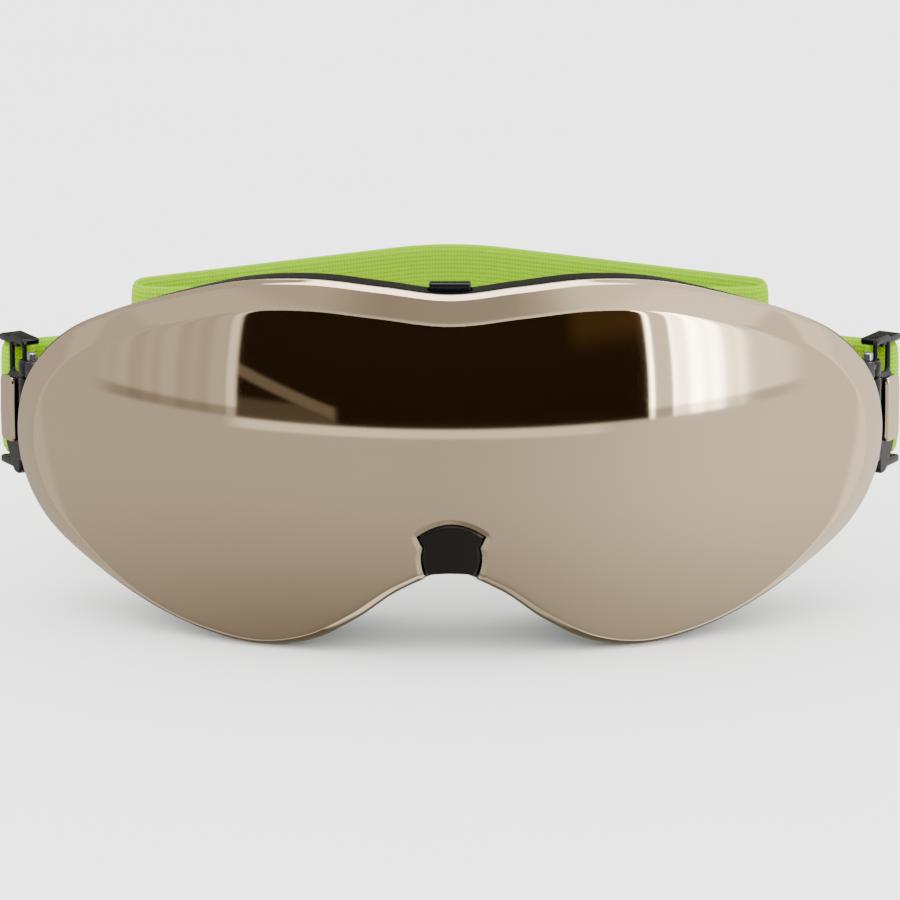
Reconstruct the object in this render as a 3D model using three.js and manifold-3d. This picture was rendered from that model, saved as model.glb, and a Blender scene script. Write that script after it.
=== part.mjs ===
// Ski goggles: a wrap-round mirrored double lens on a rigid carrier, a tapered ventilated frame with
// three layers of face foam, a hinged outrigger on each side and an elastic head strap with two sliders.
// Millimetres. X runs across the face, Y from the front of the lens to the back of the head, Z is up.
import * as THREE from 'three';
import { mergeVertices } from 'three/addons/utils/BufferGeometryUtils.js';
import Module from 'manifold-3d';

const wasm = await Module();
wasm.setup();

// Lens surface: part of a barrel, curved round the face and, more gently, from top to bottom.
const LENS_RADIUS = 112;
const LENS_HEIGHT_RADIUS = 120;
const LENS_HALF = [
  [0, 33.0], [13.9, 34.3], [28, 35.2], [42, 33.9], [55, 30.3], [68, 25.2], [79.2, 18.3],
  [86.8, 8.3], [89.3, -2.5], [88, -13], [83, -22], [71.5, -30.5], [59, -37], [48, -40.6],
  [38, -41.8], [28, -39.6], [19, -34.3], [10, -27.5], [0, -23.7],
];
const BEVEL_WIDTH = 5.4;
const BEVEL_WIDTH_LOW = 1.6;
const BEVEL_DROP = 1.9;
const LENS_WALL = 1.2;
const LENS_MIDDLE = 5;
const NOTCH_RISE = 11;
const INNER_LENS = { front: 6, back: 7.1, edge: 3.1, seat: 8 };
const GASKET = { outer: 2.9, inner: 5.2, front: 2.6, frontInner: 1.9, back: 5.7 };
const CARRIER = { lip: 2.6, inner: 7.5, front: 3.4, step: 7.6, back: 9.5 };
const LUGS = [{ length: 7.6, low: 5.4, high: 8.8 }, { length: 6, low: -12.8, high: -9.4 }];

// Face side of the frame: each point answers the lens point at the same place in its list.
const FACE_HALF = [
  [0, 23.5], [13, 24.4], [27, 25.4], [37, 24.7], [46, 22.4], [54, 18.4], [60, 13],
  [63, 5], [64, -4], [62.5, -13], [59, -22], [54, -30], [47, -37], [41, -41],
  [33, -41.2], [25, -36], [17.5, -28], [9, -20], [0, -17],
];
const FACE_RADIUS = 115;
const FACE_DEPTH = 45;
const SPINE_SPREAD = 0.55;
const SPINE_HEIGHT = -6;
const FLEECE = { front: -1.5, back: 0, outer: 0.6, inner: 10.4 };
const SOFT_FOAM = { front: -6.8, back: -1.8, outer: 0, inner: 11 };
const BASE_FOAM = { front: -12.1, back: -7.1, outer: 0.3, inner: 10.5 };
const FRAME_FRONT = 10.3;
const FRAME_BACK = -12.4;
const FRAME_WALL = 2.2;
const FRAME_FLANGE = 9;
const FRAME_INSET = 3;
const FLANGE_THICKNESS = 1.8;
const VENTS = [
  { x: 15, y: 23, turn: 0.05, length: 20, low: 14, high: 40 },
  { x: 41, y: 31.5, turn: 0.38, length: 18, low: 14, high: 40 },
  { x: 45, y: 33.5, turn: 0.36, length: 18, low: -50, high: -24 },
];
const VENT_WIDTH = 5.5;
const FILTER = { clearance: 0.5, thickness: 1.6, reach: 0.55, back: 2.4 };

// Nose tab and top latch.
const TAB_CENTRE = 0.3;
const TAB_TOP = -12.8;
const TAB_BOTTOM = -23.8;
const TAB_EAR = { half: 6.7, height: -15.3 };
const TAB_NECK = { half: 5.5, height: -17.8 };
const TAB_FOOT = 4.7;
const TAB_THICKNESS = 2.5;
const TAB_TILT = 0.16;
const GAP = 0.3;
const LATCH = { width: 8.4, depth: 2.6, front: 10.5, bottom: 32.5, top: 34.7 };
const LATCH_TRAVEL = 1.2;

// Outriggers: each swings on a vertical pin beside the lens; positions are those of the +X side.
const HINGE_X = 86.1;
const HINGE_Y = 54.2;
const OUTRIGGER_TURN = Math.PI / 3;
const PIN_RADIUS = 1;
const PIN = { low: -14.4, high: 10.4 };
const KNUCKLE_RADIUS = 2.8;
const PLATE = { start: 3.2, end: 9.8, bottom: -16.2, top: 12.3, half: 1.5 };
const KNUCKLE = { low: -9.1, high: 5.1 };
const WINDOW = { start: 4.1, end: 7.9, bottom: 4.8, top: 10.6 };
const BAR = { along: 13.9, behind: 4, radius: 1.4, top: 11.4 };
const COVER = { start: 3.4, end: 9, bottom: -9.3, top: 4.4, thickness: 1.4 };

// Strap: a flat band that lies folded behind the frame and rises a little towards the back.
const STRAP_BOTTOM = -14.2;
const STRAP_TOP = 9.6;
const STRAP_THICKNESS = 2;
const STRAP_RISE = 0.078;
const STRAP_RISE_FROM = 60;
const STRAP_RUN = [-0.924, 0.382];
const STRAP_HALF = [[74.4, 74.3], [25.5, 94.5], [26.4, 102.3], [66.5, 103.6], [67.2, 109.4]];
const STRAP_BACK = 136.9;
const FOLD_RADIUS = 3.6;
const BACK_RADIUS = 30;
const SLIDER = { along: 21, length: 14, height: 32, depth: 5.6, slotSide: 0.5, slotEnd: 0.8 };
const STRAP_TAIL = 14;
const GRIP = { start: 0.14, end: 0.7, bottom: -11, top: 2.3, thickness: 0.5 };
const RING_STEPS = 72;

const FINISHES = {
  mirror: { color: 0xbdae9c, roughness: 0.08, metalness: 0.9 },
  clear: { color: 0x9a938a, roughness: 0.1, metalness: 0.1 },
  gasket: { color: 0x2a2b2d, roughness: 0.9, metalness: 0 },
  gloss: { color: 0x17181a, roughness: 0.2, metalness: 0 },
  satin: { color: 0x222325, roughness: 0.5, metalness: 0 },
  foam: { color: 0x35373a, roughness: 1, metalness: 0 },
  fleece: { color: 0x1c1d1f, roughness: 1, metalness: 0 },
  steel: { color: 0x9fa2a5, roughness: 0.3, metalness: 1 },
  strap: { color: 0xb1db22, roughness: 0.9, metalness: 0 },
  silicone: { color: 0x3a3c3e, roughness: 0.5, metalness: 0 },
};

const group = new THREE.Group();

function smooth(low, high, value) {
  return THREE.MathUtils.smoothstep(value, low, high);
}

// Signed volume of an indexed closed surface: negative when its faces point inwards.
function signedVolume(geometry) {
  const place = geometry.attributes.position;
  const index = geometry.index;
  const [a, b, c] = [new THREE.Vector3(), new THREE.Vector3(), new THREE.Vector3()];
  let sum = 0;
  for (let i = 0; i < index.count; i += 3) {
    a.fromBufferAttribute(place, index.getX(i));
    b.fromBufferAttribute(place, index.getX(i + 1));
    c.fromBufferAttribute(place, index.getX(i + 2));
    sum += a.dot(b.cross(c)) / 6;
  }
  return sum;
}

// Shared vertices, no collapsed triangles, and faces pointing out.
function closed(geometry) {
  geometry.deleteAttribute('normal');
  geometry.deleteAttribute('uv');
  const merged = mergeVertices(geometry, 1e-3);
  const kept = [];
  const old = merged.index;
  for (let i = 0; i < old.count; i += 3) {
    const face = [old.getX(i), old.getX(i + 1), old.getX(i + 2)];
    if (new Set(face).size === 3) kept.push(...face);
  }
  merged.setIndex(kept);
  if (signedVolume(merged) < 0) {
    for (let i = 0; i < kept.length; i += 3) {
      [kept[i + 1], kept[i + 2]] = [kept[i + 2], kept[i + 1]];
    }
    merged.setIndex(kept);
  }
  return merged;
}

function toSolid(geometry) {
  const shape = closed(geometry);
  const vertProperties = new Float32Array(shape.attributes.position.array);
  const triVerts = new Uint32Array(shape.index.array);
  return new wasm.Manifold(new wasm.Mesh({ numProp: 3, vertProperties, triVerts }));
}

function fromSolid(solid) {
  const mesh = solid.getMesh();
  const geometry = new THREE.BufferGeometry();
  geometry.setAttribute('position', new THREE.BufferAttribute(new Float32Array(mesh.vertProperties), 3));
  geometry.setIndex(new THREE.BufferAttribute(new Uint32Array(mesh.triVerts), 1));
  return geometry;
}

function add(name, geometry, finish) {
  const shape = closed(geometry);
  shape.computeVertexNormals();
  const mesh = new THREE.Mesh(shape, new THREE.MeshStandardMaterial(FINISHES[finish]));
  mesh.name = name;
  group.add(mesh);
}

function mirrored(geometry) {
  return closed(geometry.clone().scale(-1, 1, 1));
}

// One piece on the +X side and its mirror image on the other.
function addPair(name, geometry, finish) {
  add(`${name}_right`, geometry.clone(), finish);
  add(`${name}_left`, mirrored(geometry), finish);
}

function closedOutline(half) {
  const otherSide = half.slice(1, -1).reverse().map(([x, z]) => [-x, z]);
  const points = [...half, ...otherSide].map(([x, z]) => new THREE.Vector3(x, 0, z));
  return new THREE.CatmullRomCurve3(points, true);
}

const lensOutline = closedOutline(LENS_HALF);
const faceOutline = closedOutline(FACE_HALF);

// A point of the barrel surface, moved towards its axis by depth. x is exact at the rim's own depth.
function onLens(x, z, depth) {
  const sag = LENS_HEIGHT_RADIUS - Math.sqrt(LENS_HEIGHT_RADIUS ** 2 - z * z);
  const turn = Math.asin(x / (LENS_RADIUS - sag - BEVEL_DROP));
  const reach = LENS_RADIUS - sag - depth;
  return new THREE.Vector3(reach * Math.sin(turn), LENS_RADIUS - reach * Math.cos(turn), z);
}

// A point at a given inset from the lens edge. rise lifts it over the nose notch.
function lensEdge(t, inset, depth, rise = 0) {
  const turn = t - Math.floor(t);
  const point = lensOutline.getPoint(turn);
  const along = lensOutline.getTangent(turn);
  const x = point.x + along.z * inset;
  const nearNose = point.z < 0 ? 1 - smooth(8, 18, Math.abs(point.x)) : 0;
  const z = point.z - along.x * inset + rise * nearNose;
  return onLens(x, z, depth);
}

// A point at a given inset from the face outline and an offset in Y from the wearer's face.
function faceEdge(t, inset, offset) {
  const point = faceOutline.getPoint(t);
  const spine = new THREE.Vector3(point.x * SPINE_SPREAD, 0, SPINE_HEIGHT);
  const inward = spine.sub(point).normalize();
  point.addScaledVector(inward, inset);
  const wrap = FACE_RADIUS - Math.sqrt(FACE_RADIUS ** 2 - point.x ** 2);
  return new THREE.Vector3(point.x, FACE_DEPTH + wrap + offset, point.z);
}

// Joins rows of equal length into a surface. Each row is a list of points; a single point is a pole.
function skin(rows, wrapRows, wrapAlong) {
  const width = Math.max(...rows.map((row) => row.length));
  const points = rows.flatMap((row) => Array.from({ length: width }, (_, j) => row[j % row.length]));
  const faces = [];
  const lastRow = wrapRows ? rows.length : rows.length - 1;
  const lastStep = wrapAlong ? width : width - 1;
  for (let i = 0; i < lastRow; i += 1) {
    for (let j = 0; j < lastStep; j += 1) {
      const a = i * width + j;
      const b = i * width + ((j + 1) % width);
      const c = ((i + 1) % rows.length) * width + j;
      const d = ((i + 1) % rows.length) * width + ((j + 1) % width);
      faces.push(a, b, c, b, d, c);
    }
  }
  if (!wrapAlong) {
    for (let i = 1; i < rows.length - 1; i += 1) {
      faces.push(0, i * width, (i + 1) * width);
      faces.push(width - 1, (i + 2) * width - 1, (i + 1) * width - 1);
    }
  }
  const geometry = new THREE.BufferGeometry();
  const numbers = points.flatMap((point) => point.toArray());
  geometry.setAttribute('position', new THREE.Float32BufferAttribute(numbers, 3));
  geometry.setIndex(faces);
  return closed(geometry);
}

// A closed ring: section is a list of functions of t, one for each corner of its cross-section.
function ring(section) {
  const steps = Array.from({ length: RING_STEPS }, (_, i) => i / RING_STEPS);
  return skin(section.map((corner) => steps.map(corner)), true, true);
}

// A stretch of such a ring between two values of t, closed at both ends.
function arcOfRing(section, from, to, count) {
  const steps = Array.from({ length: count + 1 }, (_, i) => from + ((to - from) * i) / count);
  return skin(section.map((corner) => steps.map(corner)), true, false);
}

// The rim is full width at the top and sides, and narrow along the bottom and over the nose.
function bevelWidth(t) {
  const { x, z } = lensOutline.getPoint(t);
  const fromNose = z < 0 ? smooth(20, 60, Math.abs(x)) : 1;
  return BEVEL_WIDTH_LOW + (BEVEL_WIDTH - BEVEL_WIDTH_LOW) * smooth(-38, -16, z) * fromNose;
}

// A point part of the way from an inset edge to the middle of the lens.
function lensFill(t, inset, depth, share, rise) {
  const edge = lensEdge(t, inset, BEVEL_DROP, rise);
  return onLens(edge.x * share, LENS_MIDDLE + (edge.z - LENS_MIDDLE) * share, depth);
}

function outerLens() {
  const steps = Array.from({ length: RING_STEPS }, (_, i) => i / RING_STEPS);
  const shares = [0.72, 0.42, 0.18];
  const front = shares.map((share) => steps.map((t) => lensFill(t, bevelWidth(t), 0, share, 0)));
  const back = shares.map((share) => steps.map((t) => lensFill(t, bevelWidth(t), LENS_WALL, share, 0)));
  const rows = [
    [onLens(0, LENS_MIDDLE, 0)],
    ...front.reverse(),
    steps.map((t) => lensEdge(t, bevelWidth(t), 0)),
    steps.map((t) => lensEdge(t, 0, BEVEL_DROP)),
    steps.map((t) => lensEdge(t, 0, BEVEL_DROP + LENS_WALL)),
    steps.map((t) => lensEdge(t, bevelWidth(t), LENS_WALL)),
    ...back,
    [onLens(0, LENS_MIDDLE, LENS_WALL)],
  ];
  const notch = extrudedXZ(noseTabShape(GAP), -8, 16);
  return fromSolid(toSolid(skin(rows, false, true)).subtract(toSolid(notch)));
}

function innerLens() {
  const steps = Array.from({ length: RING_STEPS }, (_, i) => i / RING_STEPS);
  const { edge, seat } = INNER_LENS;
  const row = (inset, share, depth) => steps.map((t) => lensFill(t, inset, depth, share, NOTCH_RISE));
  const face = (depth) => [row(edge, 1, depth), row(seat, 1, depth), row(seat, 0.7, depth), row(seat, 0.35, depth)];
  const middle = (depth) => [onLens(0, LENS_MIDDLE, depth)];
  const rows = [middle(INNER_LENS.front), ...face(INNER_LENS.front).reverse()];
  rows.push(...face(INNER_LENS.back), middle(INNER_LENS.back));
  return skin(rows, false, true);
}

function lensGasket() {
  return ring([
    (t) => lensEdge(t, GASKET.outer, GASKET.front, NOTCH_RISE),
    (t) => lensEdge(t, GASKET.inner, GASKET.frontInner, NOTCH_RISE),
    (t) => lensEdge(t, GASKET.inner, GASKET.back, NOTCH_RISE),
    (t) => lensEdge(t, GASKET.outer, GASKET.back, NOTCH_RISE),
  ]);
}

// Nose tab outline seen from the front: a low arch that ends in two ears, above a barrel body.
function noseTabShape(margin) {
  const ear = TAB_EAR.half + margin;
  const neck = TAB_NECK.half + margin;
  const foot = TAB_FOOT + margin;
  const low = TAB_BOTTOM - 4 * margin;
  const arch = 2 * TAB_TOP - TAB_EAR.height + 2 * margin;
  const shape = new THREE.Shape();
  shape.moveTo(TAB_CENTRE - foot, low);
  shape.quadraticCurveTo(TAB_CENTRE, low + 0.8, TAB_CENTRE + foot, low);
  shape.quadraticCurveTo(TAB_CENTRE + neck + 0.9, TAB_NECK.height - 3, TAB_CENTRE + neck, TAB_NECK.height);
  shape.lineTo(TAB_CENTRE + ear, TAB_EAR.height);
  shape.quadraticCurveTo(TAB_CENTRE, arch, TAB_CENTRE - ear, TAB_EAR.height);
  shape.lineTo(TAB_CENTRE - neck, TAB_NECK.height);
  shape.quadraticCurveTo(TAB_CENTRE - neck - 0.9, TAB_NECK.height - 3, TAB_CENTRE - foot, low);
  return shape;
}

// Extrudes an outline drawn in X and Z along Y, from y0 to y1.
function extrudedXZ(shape, y0, y1) {
  const geometry = new THREE.ExtrudeGeometry(shape, { depth: y1 - y0, bevelEnabled: false, curveSegments: 6 });
  return closed(geometry.rotateX(Math.PI / 2).translate(0, y1, 0));
}

// Extrudes a plan outline, drawn in X and Y, from z0 to z1.
function extrudedXY(shape, z0, z1) {
  const geometry = new THREE.ExtrudeGeometry(shape, { depth: z1 - z0, bevelEnabled: false, curveSegments: 8 });
  return closed(geometry.translate(0, 0, z0));
}

function block(x0, x1, y0, y1, z0, z1) {
  const geometry = new THREE.BoxGeometry(x1 - x0, y1 - y0, z1 - z0);
  return closed(geometry.translate((x0 + x1) / 2, (y0 + y1) / 2, (z0 + z1) / 2));
}

function upright(radius, z0, z1) {
  const geometry = new THREE.CylinderGeometry(radius, radius, z1 - z0, 20);
  return closed(geometry.rotateX(Math.PI / 2).translate(0, 0, (z0 + z1) / 2));
}

function noseHook() {
  const middle = (TAB_TOP + TAB_BOTTOM) / 2;
  const tab = extrudedXZ(noseTabShape(0), 0, TAB_THICKNESS);
  tab.translate(0, 0, -middle).rotateX(TAB_TILT).translate(0, onLens(0, middle, 0).y, middle);
  return tab;
}

// A lug on the carrier's outer edge that holds the hinge pin.
function hingeLug({ length, low, high }) {
  const lug = toSolid(block(-KNUCKLE_RADIUS, KNUCKLE_RADIUS, -length, 0, low, high));
  const solid = lug.add(toSolid(upright(KNUCKLE_RADIUS, low, high)));
  const bored = solid.subtract(toSolid(upright(PIN_RADIUS + GAP, low - 1, high + 1)));
  const turn = Math.atan2(HINGE_X, LENS_RADIUS - HINGE_Y);
  return fromSolid(bored).rotateZ(turn - Math.PI / 2).translate(HINGE_X, HINGE_Y, 0);
}

function lensCarrier() {
  const body = ring([
    (t) => lensEdge(t, 0, CARRIER.front),
    (t) => lensEdge(t, CARRIER.lip, CARRIER.front, NOTCH_RISE),
    (t) => lensEdge(t, CARRIER.lip, CARRIER.step, NOTCH_RISE),
    (t) => lensEdge(t, CARRIER.inner, CARRIER.step, NOTCH_RISE),
    (t) => lensEdge(t, CARRIER.inner, CARRIER.back, NOTCH_RISE),
    (t) => lensEdge(t, 0, CARRIER.back),
  ]);
  let solid = toSolid(body);
  for (const lug of LUGS.map(hingeLug)) {
    solid = solid.add(toSolid(lug)).add(toSolid(mirrored(lug)));
  }
  const half = LATCH.width / 2 + GAP;
  const back = LATCH.front + LATCH.depth + GAP;
  const floor = LATCH.bottom - LATCH_TRAVEL - 0.1;
  return fromSolid(solid.subtract(toSolid(block(-half, half, LATCH.front - GAP, back, floor, 40))));
}

function topLatch() {
  const half = LATCH.width / 2;
  const shape = new THREE.Shape();
  shape.moveTo(-half, LATCH.bottom);
  shape.lineTo(half, LATCH.bottom);
  shape.lineTo(half - 0.4, LATCH.top - 0.3);
  shape.quadraticCurveTo(0, LATCH.top + 0.3, 0.4 - half, LATCH.top - 0.3);
  shape.closePath();
  return extrudedXZ(shape, LATCH.front, LATCH.front + LATCH.depth);
}

// The frame's wall half-way between lens and face, slightly bowed outwards.
function midFrame(t, frontInset, backInset) {
  const front = lensEdge(t, frontInset, FRAME_FRONT);
  const back = faceEdge(t, backInset, FRAME_BACK);
  const bow = new THREE.Vector3(Math.sign(front.x) * Math.abs(front.x) ** 0.3, 0, front.z * 0.03);
  return front.lerp(back, 0.5).add(bow);
}

// Rounded slot seen from above, turned to follow the frame.
function ventCutter({ x, y, turn, length, low, high }) {
  const shape = new THREE.Shape();
  const radius = VENT_WIDTH / 2;
  const reach = length / 2 - radius;
  shape.absarc(reach, 0, radius, -Math.PI / 2, Math.PI / 2, false);
  shape.absarc(-reach, 0, radius, Math.PI / 2, (3 * Math.PI) / 2, false);
  shape.closePath();
  return extrudedXY(shape, low, high).rotateZ(turn).translate(x, y, 0);
}

function frameShell() {
  const wall = FRAME_WALL;
  const under = FRAME_BACK - FLANGE_THICKNESS;
  let solid = toSolid(ring([
    (t) => lensEdge(t, FRAME_INSET, FRAME_FRONT),
    (t) => midFrame(t, FRAME_INSET, 0),
    (t) => faceEdge(t, 0, FRAME_BACK),
    (t) => faceEdge(t, FRAME_FLANGE, FRAME_BACK),
    (t) => faceEdge(t, FRAME_FLANGE, under),
    (t) => faceEdge(t, wall, under),
    (t) => midFrame(t, FRAME_INSET + wall, wall),
    (t) => lensEdge(t, FRAME_INSET + wall, FRAME_FRONT),
  ]));
  for (const vent of VENTS.map(ventCutter)) {
    solid = solid.subtract(toSolid(vent)).subtract(toSolid(mirrored(vent)));
  }
  return fromSolid(solid);
}

// A filter pad under the frame's vents: it follows the inside of the wall.
function ventFilter(from, to, count) {
  const row = (depth, towardsFace) => (t) => {
    const inset = FRAME_WALL + FILTER.clearance + depth;
    const middle = midFrame(t, FRAME_INSET + inset, inset);
    const face = faceEdge(t, inset, FRAME_BACK - FILTER.back);
    const end = towardsFace ? face : lensEdge(t, FRAME_INSET + inset, FRAME_FRONT);
    return middle.lerp(end, FILTER.reach);
  };
  const thick = FILTER.thickness;
  return arcOfRing([row(0, false), row(0, true), row(thick, true), row(thick, false)], from, to, count);
}

function foamRing(layer) {
  return ring([
    (t) => faceEdge(t, layer.outer, layer.front),
    (t) => faceEdge(t, layer.inner, layer.front),
    (t) => faceEdge(t, layer.inner, layer.back),
    (t) => faceEdge(t, layer.outer, layer.back),
  ]);
}

// Places a piece drawn on the outrigger's own axes: x away from the pin, y towards the head.
function onOutrigger(geometry) {
  return geometry.rotateZ(OUTRIGGER_TURN).translate(HINGE_X, HINGE_Y, 0);
}

function roundedRectangle(x0, x1, z0, z1, radius) {
  const shape = new THREE.Shape();
  shape.absarc(x1 - radius, z1 - radius, radius, 0, Math.PI / 2, false);
  shape.absarc(x0 + radius, z1 - radius, radius, Math.PI / 2, Math.PI, false);
  shape.absarc(x0 + radius, z0 + radius, radius, Math.PI, 1.5 * Math.PI, false);
  shape.absarc(x1 - radius, z0 + radius, radius, 1.5 * Math.PI, 2 * Math.PI, false);
  shape.closePath();
  return shape;
}

function outrigger() {
  const outline = new THREE.Shape();
  outline.moveTo(PLATE.start, PLATE.bottom);
  outline.lineTo(PLATE.end - 3.6, PLATE.bottom);
  outline.lineTo(PLATE.end, PLATE.bottom + 6);
  outline.lineTo(PLATE.end, PLATE.top - 2.4);
  outline.quadraticCurveTo(PLATE.end, PLATE.top, PLATE.end - 2.4, PLATE.top);
  outline.lineTo(PLATE.start, PLATE.top);
  outline.closePath();
  outline.holes.push(roundedRectangle(WINDOW.start, WINDOW.end, WINDOW.bottom, WINDOW.top, 0.8));
  const armEnd = BAR.along + BAR.radius;
  const armBack = BAR.behind + BAR.radius;
  const pieces = [
    block(0, PLATE.start + 0.6, -PLATE.half, PLATE.half, KNUCKLE.low, KNUCKLE.high),
    upright(KNUCKLE_RADIUS, KNUCKLE.low, KNUCKLE.high),
    block(PLATE.end - 3, armEnd, 0, armBack, STRAP_TOP + GAP, BAR.top),
    block(PLATE.end - 4.5, armEnd, 0, armBack, PLATE.bottom, STRAP_BOTTOM - GAP),
    upright(BAR.radius, PLATE.bottom + 0.5, BAR.top - 0.5).translate(BAR.along, BAR.behind, 0),
  ];
  let solid = toSolid(extrudedXZ(outline, -PLATE.half, PLATE.half));
  for (const piece of pieces) {
    solid = solid.add(toSolid(piece));
  }
  solid = solid.subtract(toSolid(upright(PIN_RADIUS + GAP, KNUCKLE.low - 1, KNUCKLE.high + 1)));
  return onOutrigger(fromSolid(solid));
}

function outriggerCover() {
  const front = -PLATE.half - GAP;
  const shape = roundedRectangle(COVER.start, COVER.end, COVER.bottom, COVER.top, 1.2);
  return onOutrigger(extrudedXZ(shape, front - COVER.thickness, front));
}

function hingePin() {
  return upright(PIN_RADIUS, PIN.low, PIN.high).translate(HINGE_X, HINGE_Y, 0);
}

// Lifts a strap piece in proportion to how far back it lies.
function risen(geometry) {
  const place = geometry.attributes.position;
  for (let i = 0; i < place.count; i += 1) {
    place.setZ(i, place.getZ(i) + STRAP_RISE * (place.getY(i) - STRAP_RISE_FROM));
  }
  return geometry;
}

// The strap's end: a loop round the outrigger's bar and a sewn double tail.
function strapEnd() {
  const hole = BAR.radius + GAP;
  const loop = hole + STRAP_THICKNESS;
  const half = STRAP_THICKNESS + 0.05;
  const meet = Math.asin(half / loop);
  const shape = new THREE.Shape();
  shape.moveTo(STRAP_TAIL, half);
  shape.absarc(0, 0, loop, meet, 2 * Math.PI - meet, false);
  shape.lineTo(STRAP_TAIL, -half);
  shape.closePath();
  shape.holes.push(new THREE.Path().absarc(0, 0, hole, 0, 2 * Math.PI, true));
  const bar = new THREE.Vector3(BAR.along, BAR.behind, 0);
  bar.applyAxisAngle(new THREE.Vector3(0, 0, 1), OUTRIGGER_TURN);
  const end = extrudedXY(shape, STRAP_BOTTOM + 0.3, STRAP_TOP - 0.1);
  return end.rotateZ(Math.atan2(STRAP_RUN[1], STRAP_RUN[0])).translate(HINGE_X + bar.x, HINGE_Y + bar.y, 0);
}

// A polyline in plan with its corners rounded by arcs.
function roundedPath(corners, radii) {
  const path = [corners[0]];
  for (let i = 1; i < corners.length - 1; i += 1) {
    const into = corners[i].clone().sub(corners[i - 1]).normalize();
    const out = corners[i + 1].clone().sub(corners[i]).normalize();
    const turn = Math.atan2(into.cross(out), into.dot(out));
    const reach = radii[i] * Math.tan(Math.abs(turn) / 2);
    const start = corners[i].clone().addScaledVector(into, -reach);
    const side = new THREE.Vector2(-into.y, into.x).multiplyScalar(Math.sign(turn) * radii[i]);
    const centre = start.clone().add(side);
    const steps = Math.ceil(Math.abs(turn) / 0.28);
    for (let k = 0; k <= steps; k += 1) {
      path.push(start.clone().rotateAround(centre, (turn * k) / steps));
    }
  }
  path.push(corners[corners.length - 1]);
  return path;
}

// A plan outline that lies from a to b to the left of a path.
function ribbonShape(path, a, b) {
  const normals = path.map((point, i) => {
    const from = path[Math.max(i - 1, 0)];
    const to = path[Math.min(i + 1, path.length - 1)];
    const along = to.clone().sub(from).normalize();
    return new THREE.Vector2(-along.y, along.x);
  });
  const side = (offset) => path.map((point, i) => point.clone().addScaledVector(normals[i], offset));
  return new THREE.Shape([...side(a), ...side(b).reverse()]);
}

function strapBand() {
  const right = STRAP_HALF.map(([x, y]) => new THREE.Vector2(x, y));
  const left = [...STRAP_HALF].reverse().map(([x, y]) => new THREE.Vector2(-x, y));
  const corners = [...right, new THREE.Vector2(0, STRAP_BACK), ...left];
  const radii = corners.map((_, i) => (i === STRAP_HALF.length ? BACK_RADIUS : FOLD_RADIUS));
  const half = STRAP_THICKNESS / 2;
  return risen(extrudedXY(ribbonShape(roundedPath(corners, radii), -half, half), STRAP_BOTTOM, STRAP_TOP));
}

// Silicone grip on the side of the strap that meets the head or helmet.
function strapGrip() {
  const start = new THREE.Vector2(...STRAP_HALF[4]);
  const end = new THREE.Vector2(0, STRAP_BACK);
  const path = [start.clone().lerp(end, GRIP.start), start.clone().lerp(end, GRIP.end)];
  const near = STRAP_THICKNESS / 2 + GAP;
  return risen(extrudedXY(ribbonShape(path, near, near + GRIP.thickness), GRIP.bottom, GRIP.top));
}

// The adjuster: a flat loop round the first run of the strap.
function slider() {
  const turn = Math.atan2(STRAP_RUN[1], STRAP_RUN[0]);
  const half = SLIDER.length / 2;
  const deep = SLIDER.depth / 2;
  const slotDeep = STRAP_THICKNESS / 2 + SLIDER.slotSide;
  const middle = (STRAP_BOTTOM + STRAP_TOP) / 2;
  const outer = block(-half, half, -deep, deep, middle - SLIDER.height / 2, middle + SLIDER.height / 2);
  const slotLow = STRAP_BOTTOM - SLIDER.slotEnd;
  const slotHigh = STRAP_TOP + SLIDER.slotEnd;
  const slot = block(-half - 1, half + 1, -slotDeep, slotDeep, slotLow, slotHigh);
  const body = fromSolid(toSolid(outer).subtract(toSolid(slot)));
  const x = STRAP_HALF[0][0] + STRAP_RUN[0] * SLIDER.along;
  const y = STRAP_HALF[0][1] + STRAP_RUN[1] * SLIDER.along;
  return risen(body.rotateZ(turn).translate(x, y, 0));
}

add('outer_lens', outerLens(), 'mirror');
add('lens_gasket', lensGasket(), 'gasket');
add('inner_lens', innerLens(), 'clear');
add('lens_carrier', lensCarrier(), 'gloss');
add('nose_hook', noseHook(), 'gloss');
add('top_latch', topLatch(), 'gloss');
add('frame_shell', frameShell(), 'satin');
add('vent_filter_top', ventFilter(0.87, 1.13, 16), 'foam');
add('vent_filter_bottom_right', ventFilter(0.325, 0.39, 4), 'foam');
add('vent_filter_bottom_left', mirrored(ventFilter(0.325, 0.39, 4)), 'foam');
add('foam_base', foamRing(BASE_FOAM), 'foam');
add('foam_soft', foamRing(SOFT_FOAM), 'foam');
add('face_fleece', foamRing(FLEECE), 'fleece');
addPair('hinge_pin', hingePin(), 'steel');
addPair('outrigger', outrigger(), 'gloss');
addPair('outrigger_cover', outriggerCover(), 'mirror');
addPair('strap_end', strapEnd(), 'strap');
add('strap_band', strapBand(), 'strap');
addPair('strap_grip', strapGrip(), 'silicone');
addPair('slider', slider(), 'satin');

// The origin is under the middle of the goggles, on the surface they stand on.
const bounds = new THREE.Box3().setFromObject(group);
const centre = bounds.getCenter(new THREE.Vector3());
group.position.set(-centre.x, -centre.y, -bounds.min.z);

export default group;
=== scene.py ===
"""Ski goggles in a soft studio: a champagne mirror lens, gloss carrier, layered face foam and lime strap.

Shapes are worked out in millimetres on the goggles' own axes, whose origin is the front of the lens:
X runs across the face, Y from the lens to the back of the head and Z is up. One function moves them
into the frame's metres.
"""

import logging
import math
from dataclasses import dataclass, field
from enum import Enum
from typing import Callable, Sequence

import bpy
import numpy as np
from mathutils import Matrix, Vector
from mathutils.geometry import delaunay_2d_cdt


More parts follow.
